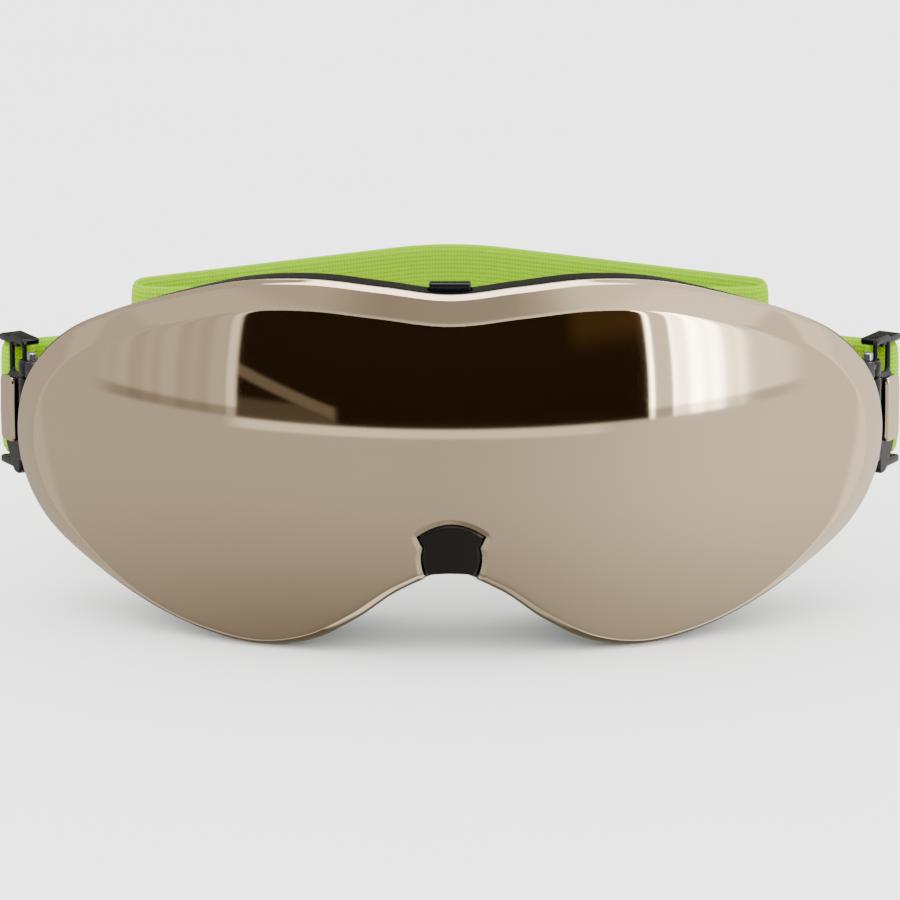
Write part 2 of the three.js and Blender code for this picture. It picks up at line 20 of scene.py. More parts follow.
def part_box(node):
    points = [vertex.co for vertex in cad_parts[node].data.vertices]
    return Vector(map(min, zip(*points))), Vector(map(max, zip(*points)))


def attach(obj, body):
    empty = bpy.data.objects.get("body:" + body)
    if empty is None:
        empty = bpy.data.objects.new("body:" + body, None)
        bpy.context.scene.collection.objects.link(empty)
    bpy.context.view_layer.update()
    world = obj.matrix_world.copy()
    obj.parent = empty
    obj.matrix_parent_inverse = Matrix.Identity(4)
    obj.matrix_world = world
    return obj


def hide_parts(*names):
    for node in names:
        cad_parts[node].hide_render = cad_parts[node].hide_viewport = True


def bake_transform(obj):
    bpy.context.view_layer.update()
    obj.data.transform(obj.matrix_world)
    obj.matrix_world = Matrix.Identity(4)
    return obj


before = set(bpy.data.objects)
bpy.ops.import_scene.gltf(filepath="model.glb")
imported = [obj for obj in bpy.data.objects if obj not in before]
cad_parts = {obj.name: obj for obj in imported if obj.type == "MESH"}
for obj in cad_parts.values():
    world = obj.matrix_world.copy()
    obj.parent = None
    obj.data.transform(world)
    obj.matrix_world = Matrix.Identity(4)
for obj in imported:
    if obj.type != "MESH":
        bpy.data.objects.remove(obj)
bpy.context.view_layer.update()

Array = np.ndarray
Material = bpy.types.Material
Node = bpy.types.Node
NodeTree = bpy.types.NodeTree
Piece = bpy.types.Object
Socket = bpy.types.NodeSocket
MM = 0.001
LOG = logging.getLogger("goggles")

# ---- The goggles' own axes, and the curves that every part shares ----

LENS_BOTTOM = 41.8
LENS_MIDDLE_Z = 5.0
RIM_DEPTH = 1.9

LENS_HALF = (
    (0, 33.0), (13.9, 34.3), (28, 35.2), (42, 33.9), (55, 30.3), (68, 25.2), (79.2, 18.3),
    (86.8, 8.3), (89.3, -2.5), (88, -13), (83, -22), (71.5, -30.5), (59, -37), (48, -40.6),
    (38, -41.8), (28, -39.6), (19, -34.3), (10, -27.5), (0, -23.7),
)
FACE_HALF = (
    (0, 23.5), (13, 24.4), (27, 25.4), (37, 24.7), (46, 22.4), (54, 18.4), (60, 13),
    (63, 5), (64, -4), (62.5, -13), (59, -22), (54, -30), (47, -37), (41, -41),
    (33, -41.2), (25, -36), (17.5, -28), (9, -20), (0, -17),
)


def smoothstep(low: float, high: float, value: Array) -> Array:
    """Cubic ease from 0 at low to 1 at high: 3t^2 - 2t^3."""
    t = np.clip((value - low) / (high - low), 0, 1)
    return t * t * (3 - 2 * t)


@dataclass(frozen=True)
class Barrel:
    """The lens surface: a barrel curved round the face and, more gently, from top to bottom."""

    radius: float = 112.0
    height_radius: float = 120.0

    def sag(self, z: Array) -> Array:
        """How far the surface has fallen back at height z: R - sqrt(R^2 - z^2)."""
        return self.height_radius - np.sqrt(self.height_radius**2 - np.square(z))

    def place(self, x: Array, z: Array, depth: Array | float = 0.0) -> Array:
        """Points of the surface, moved towards the barrel's axis.

        The turn about the axis is asin(x / (R - sag - rim depth)), so x is exact at the lens rim.

        Args:
            x: Distances across the face, in millimetres.
            z: Heights, in millimetres.
            depth: Distance behind the surface.

        Returns:
            Points, with X, Y and Z in the last axis.
        """
        sag = self.sag(z)
        turn = np.arcsin(np.clip(x / (self.radius - sag - RIM_DEPTH), -0.95, 0.95))
        reach = self.radius - sag - depth
        return np.stack([reach * np.sin(turn), self.radius - reach * np.cos(turn), z + 0 * reach], axis=-1)


BARREL = Barrel()
LENS_FRONT_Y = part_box("outer_lens")[0].y / MM - float(BARREL.sag(np.array(LENS_MIDDLE_Z)))
LENS_BASE_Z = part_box("outer_lens")[0].z / MM
ROW_ORIGIN = np.array([0.0, LENS_FRONT_Y, LENS_BASE_Z + LENS_BOTTOM])


def to_row(points: Array) -> Array:
    """Points on the goggles' own axes, in millimetres, as metres in the frame."""
    return (np.asarray(points, float) + ROW_ORIGIN) * MM


def closed_spline(points: Array, steps: int) -> Array:
    """A closed centripetal Catmull-Rom curve: each stretch is the cubic that meets its end tangents.

    Args:
        points: Control points, one a row.
        steps: Samples for each stretch between two control points.

    Returns:
        The sampled points, without a repeated end.
    """
    before, start, end, after = (np.roll(points, shift, axis=0) for shift in (1, 0, -1, -2))
    gap = [
        np.maximum(np.sqrt(np.linalg.norm(b - a, axis=1)), 1e-6)[:, None]
        for a, b in ((before, start), (start, end), (end, after))
    ]
    slope_in = (start - before) / gap[0] - (end - before) / (gap[0] + gap[1]) + (end - start) / gap[1]
    slope_out = (end - start) / gap[1] - (after - start) / (gap[1] + gap[2]) + (after - end) / gap[2]
    t = (np.arange(steps) / steps)[None, :, None]
    a, b = start[:, None], end[:, None]
    m, n = (slope_in * gap[1])[:, None], (slope_out * gap[1])[:, None]
    cubic = a + m * t + (3 * (b - a) - 2 * m - n) * t**2 + (2 * (a - b) + m + n) * t**3
    return cubic.reshape(-1, points.shape[1])


@dataclass(frozen=True)
class Outline:
    """A closed curve in X and Z that runs clockwise as seen from the front."""

    points: Array

    @classmethod
    def mirrored(cls, half: Sequence[tuple[float, float]], steps: int) -> "Outline":
        """The outline whose right half is given from top centre to bottom centre.

        Args:
            half: Control points of the right half.
            steps: Samples between control points.

        Returns:
            The closed outline.
        """
        right = np.array(half, float)
        left = right[1:-1][::-1] * [-1, 1]
        return cls(closed_spline(np.vstack([right, left]), steps))

    def inward(self) -> Array:
        """Unit normals that point into the outline: the tangent (x, z) turned to (z, -x).

        Returns:
            One unit vector a point.
        """
        along = np.roll(self.points, -1, axis=0) - np.roll(self.points, 1, axis=0)
        along /= np.linalg.norm(along, axis=1, keepdims=True)
        return np.stack([along[:, 1], -along[:, 0]], axis=1)

    def over_nose(self) -> Array:
        """How much each point belongs to the nose notch: 1 within 8 mm of the middle, 0 past 18 mm."""
        return np.where(self.points[:, 1] < 0, 1 - smoothstep(8, 18, np.abs(self.points[:, 0])), 0)


RING_STEPS = 20
LENS_OUTLINE = Outline.mirrored(LENS_HALF, RING_STEPS)
FACE_OUTLINE = Outline.mirrored(FACE_HALF, RING_STEPS)


@dataclass(frozen=True)
class Shell:
    """Where the rings lie: on the lens barrel at the front and on the wearer's face at the back."""

    notch_rise: float = 11.0
    face_radius: float = 115.0
    face_depth: float = 45.0
    spine_spread: float = 0.55
    spine_height: float = -6.0

    def lens_edge(self, inset: Array, depth: Array, rise: Array | float = 0.0) -> Array:
        """Rows of points round the lens edge, one row for each inset and depth.

        Args:
            inset: Distances in from the lens outline.
            depth: Distances behind the lens surface.
            rise: Share of the lift that clears the nose notch, for each row.

        Returns:
            Points of shape (rows, steps, 3).
        """
        inset, depth, rise = np.broadcast_arrays(inset, depth, rise)
        points, inward = LENS_OUTLINE.points, LENS_OUTLINE.inward()
        x = points[None, :, 0] + inset[:, None] * inward[None, :, 0]
        z = points[None, :, 1] + inset[:, None] * inward[None, :, 1]
        z = z + self.notch_rise * rise[:, None] * LENS_OUTLINE.over_nose()[None, :]
        return BARREL.place(x, z, depth[:, None])

    def face_edge(self, inset: Array, offset: Array) -> Array:
        """Rows of points round the face outline, moved towards a spine between the eyes.

        Args:
            inset: Distances in from the face outline.
            offset: Distances in Y from the wearer's face, which is a cylinder about the head.

        Returns:
            Points of shape (rows, steps, 3).
        """
        inset, offset = np.broadcast_arrays(inset, offset)
        points = FACE_OUTLINE.points
        spine = np.stack([points[:, 0] * self.spine_spread, np.full(len(points), self.spine_height)], axis=1)
        inward = spine - points
        inward /= np.linalg.norm(inward, axis=1, keepdims=True)
        moved = points[None] + inset[:, None, None] * inward[None]
        wrap = self.face_radius - np.sqrt(self.face_radius**2 - moved[..., 0] ** 2)
        y = self.face_depth + wrap + offset[:, None]
        return np.stack([moved[..., 0], y, moved[..., 1]], axis=-1)


SHELL = Shell()

# ---- Meshes from arrays ----


@dataclass
class Surface:
    """A mesh in millimetres on the goggles' own axes, with one normal or UV a corner if they are needed."""

    points: Array
    faces: list[Array] = field(default_factory=list)
    corner_normals: Array | None = None
    corner_uv: Array | None = None

    def joined(self, *others: "Surface") -> "Surface":
        """This surface and others as one mesh of separate shells.

        Args:
            others: The surfaces to add.

        Returns:
            The joined mesh.
        """
        points, faces, offset = [self.points], list(self.faces), len(self.points)
        for other in others:
            points.append(other.points)
            faces.extend(face + offset for face in other.faces)
            offset += len(other.points)
        return Surface(np.vstack(points), faces)

    def moved(self, turn: float, shift: Sequence[float]) -> "Surface":
        """The surface turned about Z and then shifted, with its normals.

        Args:
            turn: Angle about Z, in radians.
            shift: Distance to move along X, Y and Z.

        Returns:
            The moved surface.
        """
        c, s = math.cos(turn), math.sin(turn)
        spin = np.array([[c, s, 0], [-s, c, 0], [0, 0, 1]])
        normals = None if self.corner_normals is None else self.corner_normals @ spin
        return Surface(self.points @ spin + np.array(shift, float), self.faces, normals, self.corner_uv)

    def mirrored(self) -> "Surface":
        """The mirror image in X, with each face's order turned round so that it still faces out.

        Returns:
            The mirrored surface.
        """
        flipped = [face[:, ::-1] for face in self.faces]
        normals = self._turned_round(self.corner_normals)
        if normals is not None:
            normals = normals * [-1, 1, 1]
        return Surface(self.points * [-1, 1, 1], flipped, normals, self._turned_round(self.corner_uv))

    def _turned_round(self, values: Array | None) -> Array | None:
        """One value a corner, put in the order that the corners have when every face is turned round.

        Args:
            values: One row for each corner, or nothing.

        Returns:
            The reordered rows, or nothing.
        """
        if values is None:
            return None
        parts, at = [], 0
        for face in self.faces:
            block = values[at : at + face.size].reshape(*face.shape, values.shape[1])
            parts.append(block[:, ::-1].reshape(face.size, -1))
            at += face.size
        return np.vstack(parts)


def signed_volume(surface: Surface) -> float:
    """Six times the volume that the faces enclose: the sum of a . (b x c) over fan triangles.

    Args:
        surface: The surface.

    Returns:
        Six times the volume, positive when the faces point out.
    """
    total = 0.0
    for face in surface.faces:
        for k in range(1, face.shape[1] - 1):
            a, b, c = (surface.points[face[:, i]] for i in (0, k, k + 1))
            total += float(np.einsum("ij,ij->i", a, np.cross(b, c)).sum())
    return total


def outward(surface: Surface) -> Surface:
    """The surface with its faces pointing out, by the sign of the volume that they enclose."""
    if signed_volume(surface) >= 0:
        return surface
    return Surface(surface.points, [face[:, ::-1] for face in surface.faces], None, surface.corner_uv)


def grid_faces(rows: int, columns: int, wrap_rows: bool, wrap_columns: bool) -> Array:
    """Quads between neighbouring points of a grid whose points are numbered row by row.

    Args:
        rows: Number of rows.
        columns: Number of points in a row.
        wrap_rows: Whether the last row joins the first.
        wrap_columns: Whether each row closes on itself.

    Returns:
        Point numbers, four a quad.
    """
    i = np.arange(rows if wrap_rows else rows - 1)[:, None]
    j = np.arange(columns if wrap_columns else columns - 1)[None, :]
    i_next, j_next = (i + 1) % rows, (j + 1) % columns
    quads = np.stack([i * columns + j, i * columns + j_next, i_next * columns + j_next, i_next * columns + j])
    return quads.reshape(4, -1).T


def torus(rows: Array) -> Surface:
    """A closed ring: rows of points, each a closed loop, with the last row joined to the first."""
    count, steps = rows.shape[:2]
    return outward(Surface(rows.reshape(-1, 3), [grid_faces(count, steps, True, True)]))


def capped_tube(rings: Array) -> Surface:
    """A closed tube: rings of points of shape (rings, around, 3), each end closed by a fan to its middle.

    Args:
        rings: Points of shape (rings, around, 3).

    Returns:
        The closed tube, facing out.
    """
    count, around = rings.shape[:2]
    middles = np.stack([rings[0].mean(axis=0), rings[-1].mean(axis=0)])
    points = np.vstack([rings.reshape(-1, 3), middles])
    first, last = count * around, count * around + 1
    j = np.arange(around)
    start = np.stack([np.full(around, first), (j + 1) % around, j], axis=1)
    base = (count - 1) * around
    end = np.stack([np.full(around, last), base + j, base + (j + 1) % around], axis=1)
    return outward(Surface(points, [grid_faces(count, around, False, True), start, end]))


def make_object(name: str, surface: Surface, materials: Sequence[Material]) -> Piece:
    """Puts a surface into the scene as one smooth-shaded object at the origin.

    Args:
        name: The piece's name.
        surface: Its mesh in millimetres on the goggles' own axes.
        materials: Materials for its face groups, in the order of surface.faces; the last one is reused.

    Returns:
        The new object.
    """
    mesh = bpy.data.meshes.new(name)
    polygons = [face for group in surface.faces for face in group.tolist()]
    mesh.from_pydata(to_row(surface.points).tolist(), [], polygons)
    for material in materials:
        mesh.materials.append(material)
    sizes = [len(group) for group in surface.faces]
    slots = np.repeat(np.minimum(np.arange(len(sizes)), len(materials) - 1), sizes)
    mesh.polygons.foreach_set("material_index", slots.astype(np.int32))
    mesh.polygons.foreach_set("use_smooth", np.ones(len(polygons), bool))
    if surface.corner_uv is not None:
        layer = mesh.uv_layers.new(name="weave")
        layer.data.foreach_set("uv", surface.corner_uv.astype(np.float32).ravel())
    mesh.update()
    if surface.corner_normals is not None:
        mesh.normals_split_custom_set(surface.corner_normals.tolist())
    piece = bpy.data.objects.new(name, mesh)
    bpy.context.scene.collection.objects.link(piece)
    return piece


def rounded_loop(corners: Sequence[tuple[float, float]], radius: float, steps: int = 5) -> Array:
    """A closed polygon with each corner rounded by a quadratic curve that starts radius before it.

    Args:
        corners: The polygon's corners.
        radius: How far from each corner the rounding starts; short sides shorten it.
        steps: Points on each rounded corner, less one.

    Returns:
        The rounded loop's points.
    """
    here = np.array(corners, float)
    before, after = np.roll(here, 1, axis=0), np.roll(here, -1, axis=0)
    back = np.linalg.norm(before - here, axis=1, keepdims=True)
    ahead = np.linalg.norm(after - here, axis=1, keepdims=True)
    start = here + (before - here) / back * np.minimum(radius, 0.45 * back)
    end = here + (after - here) / ahead * np.minimum(radius, 0.45 * ahead)
    t = np.linspace(0, 1, steps + 1)[None, :, None]
    curve = (1 - t) ** 2 * start[:, None] + 2 * t * (1 - t) * here[:, None] + t**2 * end[:, None]
    return curve.reshape(-1, here.shape[1])


def rectangle(low: Sequence[float], high: Sequence[float]) -> list[tuple[float, float]]:
    """The four corners of a rectangle between its lowest and its highest corner."""
    return [(low[0], low[1]), (high[0], low[1]), (high[0], high[1]), (low[0], high[1])]


def dense_loop(loop: Array, spacing: float) -> Array:
    """A closed loop with points added so that none are further apart than spacing.

    Args:
        loop: The closed loop's points.
        spacing: The longest distance allowed between neighbours.

    Returns:
        The loop with its added points.
    """
    after = np.roll(loop, -1, axis=0)
    pieces = []
    for start, end in zip(loop, after):
        count = max(1, int(math.ceil(np.linalg.norm(end - start) / spacing)))
        pieces.append(start + (end - start) * (np.arange(count) / count)[:, None])
    return np.vstack(pieces)


def edge_distance(points: Array, loop: Array) -> Array:
    """Distance from each point to a closed loop, measured to its nearest straight stretch.

    Args:
        points: Points in X and Z, one a row.
        loop: The closed loop's points.

    Returns:
        One distance a point.
    """
    start, end = loop, np.roll(loop, -1, axis=0)
    run = end - start
    length = np.maximum((run**2).sum(axis=1), 1e-12)
    nearest = np.full(len(points), np.inf)
    for at in range(0, len(points), 2000):
        block = points[at : at + 2000, None] - start[None]
        share = np.clip((block * run[None]).sum(axis=2) / length[None], 0, 1)
        gap = block - share[..., None] * run[None]
        nearest[at : at + 2000] = np.sqrt((gap**2).sum(axis=2).min(axis=1))
    return nearest


def inside(points: Array, loop: Array) -> Array:
    """Whether each point is inside a closed loop: a ray along x crosses it an odd number of times.

    Args:
        points: Points in X and Z, one a row.
        loop: The closed loop's points.

    Returns:
        One truth value a point.
    """
    start, end = loop, np.roll(loop, -1, axis=0)
    z = points[:, 1][:, None]
    crosses = (start[None, :, 1] > z) != (end[None, :, 1] > z)
    rise = np.where(end[:, 1] == start[:, 1], 1e-12, end[:, 1] - start[:, 1])
    at = start[None, :, 0] + (z - start[None, :, 1]) / rise[None] * (end - start)[None, :, 0]
    return (np.sum(crosses & (points[:, 0][:, None] < at), axis=1) % 2).astype(bool)


SLIVER = 1e-5


@dataclass
class Plate:
    """A thin solid bounded by an outline, whose front and back are functions of x, z and edge distance.

    Its flat triangulation follows the outline in closely spaced rows near the edge and a grid inside.
    """

    outline: Array
    front: Callable[[Array, Array, Array], Array]
    back: Callable[[Array, Array, Array], Array]
    spacing: float = 2.0
    rows: tuple[float, ...] = (0.06, 0.16, 0.32, 0.55, 0.85, 1.3)
    holes: tuple[Array, ...] = ()
    extra: Array | None = None

    def flat(self) -> tuple[Array, Array, list[Array]]:
        """Triangulates the outline, without slivers.

        Returns:
            Points, triangles, and the point numbers of the outline and of each hole in order.
        """
        loops = [self.outline, *self.holes]
        points, edges, offset = [], [], 0
        for loop in loops:
            points.append(loop)
            index = np.arange(len(loop))
            edges.extend((np.stack([index, np.roll(index, -1)], axis=1) + offset).tolist())
            offset += len(loop)
        for row in self.rows:
            for loop in loops:
                along = np.roll(loop, -1, axis=0) - np.roll(loop, 1, axis=0)
                along /= np.maximum(np.linalg.norm(along, axis=1, keepdims=True), 1e-9)
                side = np.stack([along[:, 1], -along[:, 0]], axis=1) * row
                test = np.vstack([loop + side, loop - side])
                points.append(test[self._kept(test, loops, row * 0.97)])
        low, high = self.outline.min(axis=0), self.outline.max(axis=0)
        x = np.arange(low[0], high[0], self.spacing)
        z = np.arange(low[1], high[1], self.spacing * 0.87)
        grid = np.stack(np.meshgrid(x, z), axis=-1)
        grid[1::2, :, 0] += self.spacing / 2
        grid = grid.reshape(-1, 2)
        points.append(grid[self._kept(grid, loops, self.rows[-1] + self.spacing * 0.4)])
        if self.extra is not None:
            points.append(self.extra[self._kept(self.extra, loops, self.rows[-1] * 1.1)])
        cloud = np.vstack(points)
        found = delaunay_2d_cdt([Vector(p) for p in cloud], edges, [], 0, 1e-7)
        flat = np.array([tuple(p) for p in found[0]])
        triangles = np.array([tuple(face) for face in found[2]], int)
        centre = flat[triangles].mean(axis=1)
        side_a, side_b = (flat[triangles[:, k]] - flat[triangles[:, 0]] for k in (1, 2))
        area = np.abs(side_a[:, 0] * side_b[:, 1] - side_a[:, 1] * side_b[:, 0])
        keep = inside(centre, self.outline) & (area > SLIVER)
        for hole in self.holes:
            keep &= ~inside(centre, hole)
        home = {source: new for new, sources in enumerate(found[3]) for source in sources}
        order, at = [], 0
        for loop in loops:
            order.append(np.array([home[at + k] for k in range(len(loop))]))
            at += len(loop)
        return flat, triangles[keep], order

    def _kept(self, points: Array, loops: Sequence[Array], clearance: float) -> Array:
        """Which points are inside the plate and at least clearance from every edge.

        Args:
            points: Points in X and Z, one a row.
            loops: The outline and then each hole.
            clearance: The smallest distance from an edge.

        Returns:
            One truth value a point.
        """
        keep = inside(points, loops[0])
        for loop in loops:
            keep &= edge_distance(points, loop) >= clearance
        for hole in loops[1:]:
            keep &= ~inside(points, hole)
        return keep

    def _distance(self, flat: Array) -> Array:
        """Distance to the nearest edge, hole edges included."""
        return np.min([edge_distance(flat, loop) for loop in (self.outline, *self.holes)], axis=0)

    def _normals(self, side: Callable[[Array, Array, Array], Array], flat: Array) -> Array:
        """Unit normals of a side, from the cross product of its slopes along x and z.

        Args:
            side: The front or the back, as a function.
            flat: Points in X and Z.

        Returns:
            One unit vector a point.
        """
        step = 0.02
        slopes = []
        for axis in ([step, 0.0], [0.0, step]):
            ends = []
            for sign in (1, -1):
                shifted = flat + sign * np.array(axis)
                ends.append(side(shifted[:, 0], shifted[:, 1], self._distance(shifted)))
            slopes.append(ends[0] - ends[1])
        normal = np.cross(slopes[0], slopes[1])
        return normal / np.maximum(np.linalg.norm(normal, axis=1, keepdims=True), 1e-9)

    def surface(self) -> Surface:
        """The closed solid: front triangles, back triangles and a wall round each edge.

        Returns:
            The solid, with a normal for each corner.
        """
        flat, triangles, loops = self.flat()
        distance = self._distance(flat)
        front = self.front(flat[:, 0], flat[:, 1], distance)
        back = self.back(flat[:, 0], flat[:, 1], distance)
        count = len(flat)
        front_normal = self._normals(self.front, flat)
        back_normal = -self._normals(self.back, flat)
        if np.einsum("ij,ij->i", front_normal, front - back).mean() < 0:
            front_normal, back_normal = -front_normal, -back_normal
        a, b, c = (front[triangles[:, k]] for k in range(3))
        facing = np.einsum("ij,ij->i", np.cross(b - a, c - a), front_normal[triangles[:, 0]])
        triangles = np.where(facing[:, None] > 0, triangles, triangles[:, ::-1])
        points = np.vstack([front, back])
        walls = []
        for number, loop in enumerate(loops):
            after = np.roll(loop, -1)
            wall = np.stack([loop, after, after + count, loop + count], axis=1)
            faces_out = signed_volume(Surface(points - points[loop].mean(axis=0), [wall])) > 0
            walls.append(wall if faces_out == (number == 0) else wall[:, ::-1])
        faces = [triangles, triangles[:, ::-1] + count, np.vstack(walls)]
        a, b, d = (points[faces[2][:, k]] for k in (0, 1, 3))
        wall_normal = np.cross(b - a, d - a)
        wall_normal /= np.maximum(np.linalg.norm(wall_normal, axis=1, keepdims=True), 1e-9)
        corners = np.vstack([
            front_normal[faces[0]].reshape(-1, 3),
            back_normal[triangles[:, ::-1]].reshape(-1, 3),
            np.repeat(wall_normal, 4, axis=0),
        ])
        return Surface(points, faces, corners)


def edge_drop(distance: Array, radius: float) -> Array:
    """How far a rounded edge falls away at a distance in from it: r - sqrt(r^2 - (r - d)^2)."""
    inner = np.clip(radius - distance, 0, radius)
    return radius - np.sqrt(np.maximum(radius**2 - inner**2, 0))


def rounded_block(low: Sequence[float], high: Sequence[float], radius: float) -> Surface:
    """A box with rounded edges: a sphere of the edge radius, pulled apart along each axis.

    Args:
        low: The box's lowest corner.
        high: The box's highest corner.
        radius: The edge radius.

    Returns:
        The closed surface.
    """
    low, high = np.array(low, float), np.array(high, float)
    angle = np.concatenate([quarter * math.pi / 2 + np.linspace(0, math.pi / 2, 6) for quarter in range(4)])
    quarter = np.repeat(np.arange(4), 6)
    lift = np.concatenate([np.linspace(-math.pi / 2, 0, 6), np.linspace(0, math.pi / 2, 6)])
    up = np.repeat([-1, 1], 6)
    sign_x = np.where((quarter == 0) | (quarter == 3), 1, -1)
    sign_y = np.where(quarter < 2, 1, -1)
    half = (high - low) / 2 - radius
    x = sign_x[None] * half[0] + radius * np.cos(lift)[:, None] * np.cos(angle)[None]
    y = sign_y[None] * half[1] + radius * np.cos(lift)[:, None] * np.sin(angle)[None]
    z = up[:, None] * half[2] + radius * np.sin(lift)[:, None] + 0 * x
    return capped_tube(np.stack([x, y, z], axis=-1) + (low + high) / 2)


def turned(profile: Sequence[tuple[float, float]], centre: tuple[float, float], around: int = 40) -> Surface:
    """A turned piece: a profile of (radius, height) carried round an upright axis.

    Args:
        profile: Radius and height of each point.
        centre: The axis's place in plan.
        around: Points round the axis.

    Returns:
        The closed surface.
    """
    shape = np.array(profile, float)
    angle = np.linspace(0, 2 * math.pi, around, endpoint=False)
    x = centre[0] + shape[:, :1] * np.cos(angle)
    y = centre[1] + shape[:, :1] * np.sin(angle)
    z = shape[:, 1:] + 0 * x
    return capped_tube(np.stack([x, y, z], axis=-1))


def fix_on(piece: Piece, body: str, slot: str, *nodes: str) -> Piece:
    """Makes a piece ride on a body and stand for CAD nodes, and logs it.

    Args:
        piece: The piece.
        body: The frame body that it rides on.
        slot: Not used.
        nodes: The CAD nodes that it stands for.

    Returns:
        The same piece.
    """
    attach(piece, body)
    if nodes:
        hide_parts(*nodes)
    LOG.info("%s: %d faces on %s", piece.name, len(piece.data.polygons), body)
    return piece


# ---- Finishes ----


def linear(code: str) -> tuple[float, float, float, float]:
    """An sRGB colour such as "a8cc2c" as the linear colour that a shader wants."""
    channels = [int(code[k : k + 2], 16) / 255 for k in (0, 2, 4)]
    return (*(c / 12.92 if c <= 0.04045 else ((c + 0.055) / 1.055) ** 2.4 for c in channels), 1.0)


def add_node(tree: NodeTree, kind: str, inputs: dict | None = None, **settings: object) -> Node:
    """Adds a shader node, sets its properties, and links or sets its inputs.

    Args:
        tree: The node tree to add to.
        kind: The node's type, such as "ShaderNodeMath".
        inputs: For each input's name or number, a socket to link from or a value to set.
        settings: Properties of the node itself.

    Returns:
        The new node.
    """
    new = tree.nodes.new(kind)
    for name, value in settings.items():
        setattr(new, name, value)
    for key, value in (inputs or {}).items():
        if isinstance(value, Socket):
            tree.links.new(value, new.inputs[key])
        else:
            new.inputs[key].default_value = value
    return new


def math_node(tree: NodeTree, operation: str, *values: object) -> Socket:
    """The result of a Math node for up to three sockets or numbers."""
    return add_node(tree, "ShaderNodeMath", dict(enumerate(values)), operation=operation).outputs[0]


def eased(tree: NodeTree, value: object, low: float, high: float) -> Socket:
    """A smooth step from 0 at low to 1 at high, as a socket."""
    inputs = {"Value": value, "From Min": low, "From Max": high}
    return add_node(tree, "ShaderNodeMapRange", inputs, interpolation_type="SMOOTHSTEP").outputs["Result"]


def mixed(tree: NodeTree, share: object, first: object, second: object) -> Socket:
    """A colour part of the way from the first to the second, as a socket."""
    inputs = {"Factor": share, 6: first, 7: second}
    return add_node(tree, "ShaderNodeMix", inputs, data_type="RGBA").outputs[2]


class Pattern(Enum):
    """The two patterns that finishes are made of."""

    NOISE = "ShaderNodeTexNoise"
    CELLS = "ShaderNodeTexVoronoi"


@dataclass(frozen=True)
class Texture:
    """Where a pattern is read on a piece, and how coarse it is."""

    size_mm: float
    detail: float = 2.0
    kind: Pattern = Pattern.NOISE

    def socket(self, tree: NodeTree) -> Socket:
        """The pattern's value on the piece's own coordinates, which are in metres.

        Args:
            tree: The node tree.

        Returns:
            The pattern, as a socket.
        """
        place = add_node(tree, "ShaderNodeTexCoord").outputs["Object"]
        inputs = {"Vector": place, "Scale": 1 / (self.size_mm * MM)}
        if self.kind is Pattern.NOISE:
            inputs["Detail"] = self.detail
        return add_node(tree, self.kind.value, inputs).outputs[0]


def new_material(name: str) -> tuple[Material, NodeTree, Node]:
    """A material with one Principled shader.

    Args:
        name: The material's name.

    Returns:
        The material, its node tree and its Principled node.
    """
    material = bpy.data.materials.new(name)
    material.use_nodes = True
    tree = material.node_tree
    tree.nodes.clear()
    shader = add_node(tree, "ShaderNodeBsdfPrincipled")
    add_node(tree, "ShaderNodeOutputMaterial", {"Surface": shader.outputs[0]})
    return material, tree, shader


def bump(tree: NodeTree, height: object, depth_mm: float, strength: float) -> Socket:
    """A normal bent by a height pattern, as deep as depth_mm from its lowest to its highest value."""
    inputs = {"Height": height, "Distance": depth_mm * MM, "Strength": strength}
    return add_node(tree, "ShaderNodeBump", inputs).outputs["Normal"]


@dataclass(frozen=True)
class MirrorCoat:
    """Vacuum-deposited mirror coating on moulded polycarbonate."""

    name: str
    tint: str
    roughness: float = 0.035
    patch_mm: float = 38.0

    def build(self) -> Material:
        """A metal film whose tint drifts by a hair over patches of 38 mm, as a deposited film does.

        Returns:
            The material.
        """
        material, tree, shader = new_material(self.name)
        drift = Texture(self.patch_mm, 1.0).socket(tree)
        tint = mixed(tree, math_node(tree, "MULTIPLY", drift, 0.09), linear(self.tint), linear("b49a78"))
        tree.links.new(tint, shader.inputs["Base Color"])
        shader.inputs["Metallic"].default_value = 1.0
        haze = math_node(tree, "MULTIPLY_ADD", drift, 0.012, self.roughness)
        tree.links.new(haze, shader.inputs["Roughness"])
        return material


@dataclass(frozen=True)
class MouldedPlastic:
    """Injection-moulded plastic or rubber: a plain colour with a fine moulded grain."""

    name: str
    colour: str
    roughness: float
    grain_mm: float
    grain_depth_mm: float
    coat: float = 0.0
    specular: float = 0.5

    def build(self) -> Material:
        """A dielectric whose gloss and surface follow a grain of grain_mm.

        Returns:
            The material.
        """
        material, tree, shader = new_material(self.name)
        grain = Texture(self.grain_mm, 3.0).socket(tree)
        worn = Texture(14.0, 2.0).socket(tree)
        shade = mixed(tree, math_node(tree, "MULTIPLY", worn, 0.2), linear(self.colour), linear("1c1c1d"))
        tree.links.new(shade, shader.inputs["Base Color"])
        rough = math_node(tree, "MULTIPLY_ADD", worn, 0.10, self.roughness - 0.05)
        tree.links.new(rough, shader.inputs["Roughness"])
        shader.inputs["Coat Weight"].default_value = self.coat
        shader.inputs["Coat Roughness"].default_value = 0.04
        shader.inputs["Specular IOR Level"].default_value = self.specular
        tree.links.new(bump(tree, grain, self.grain_depth_mm, 0.6), shader.inputs["Normal"])
        return material


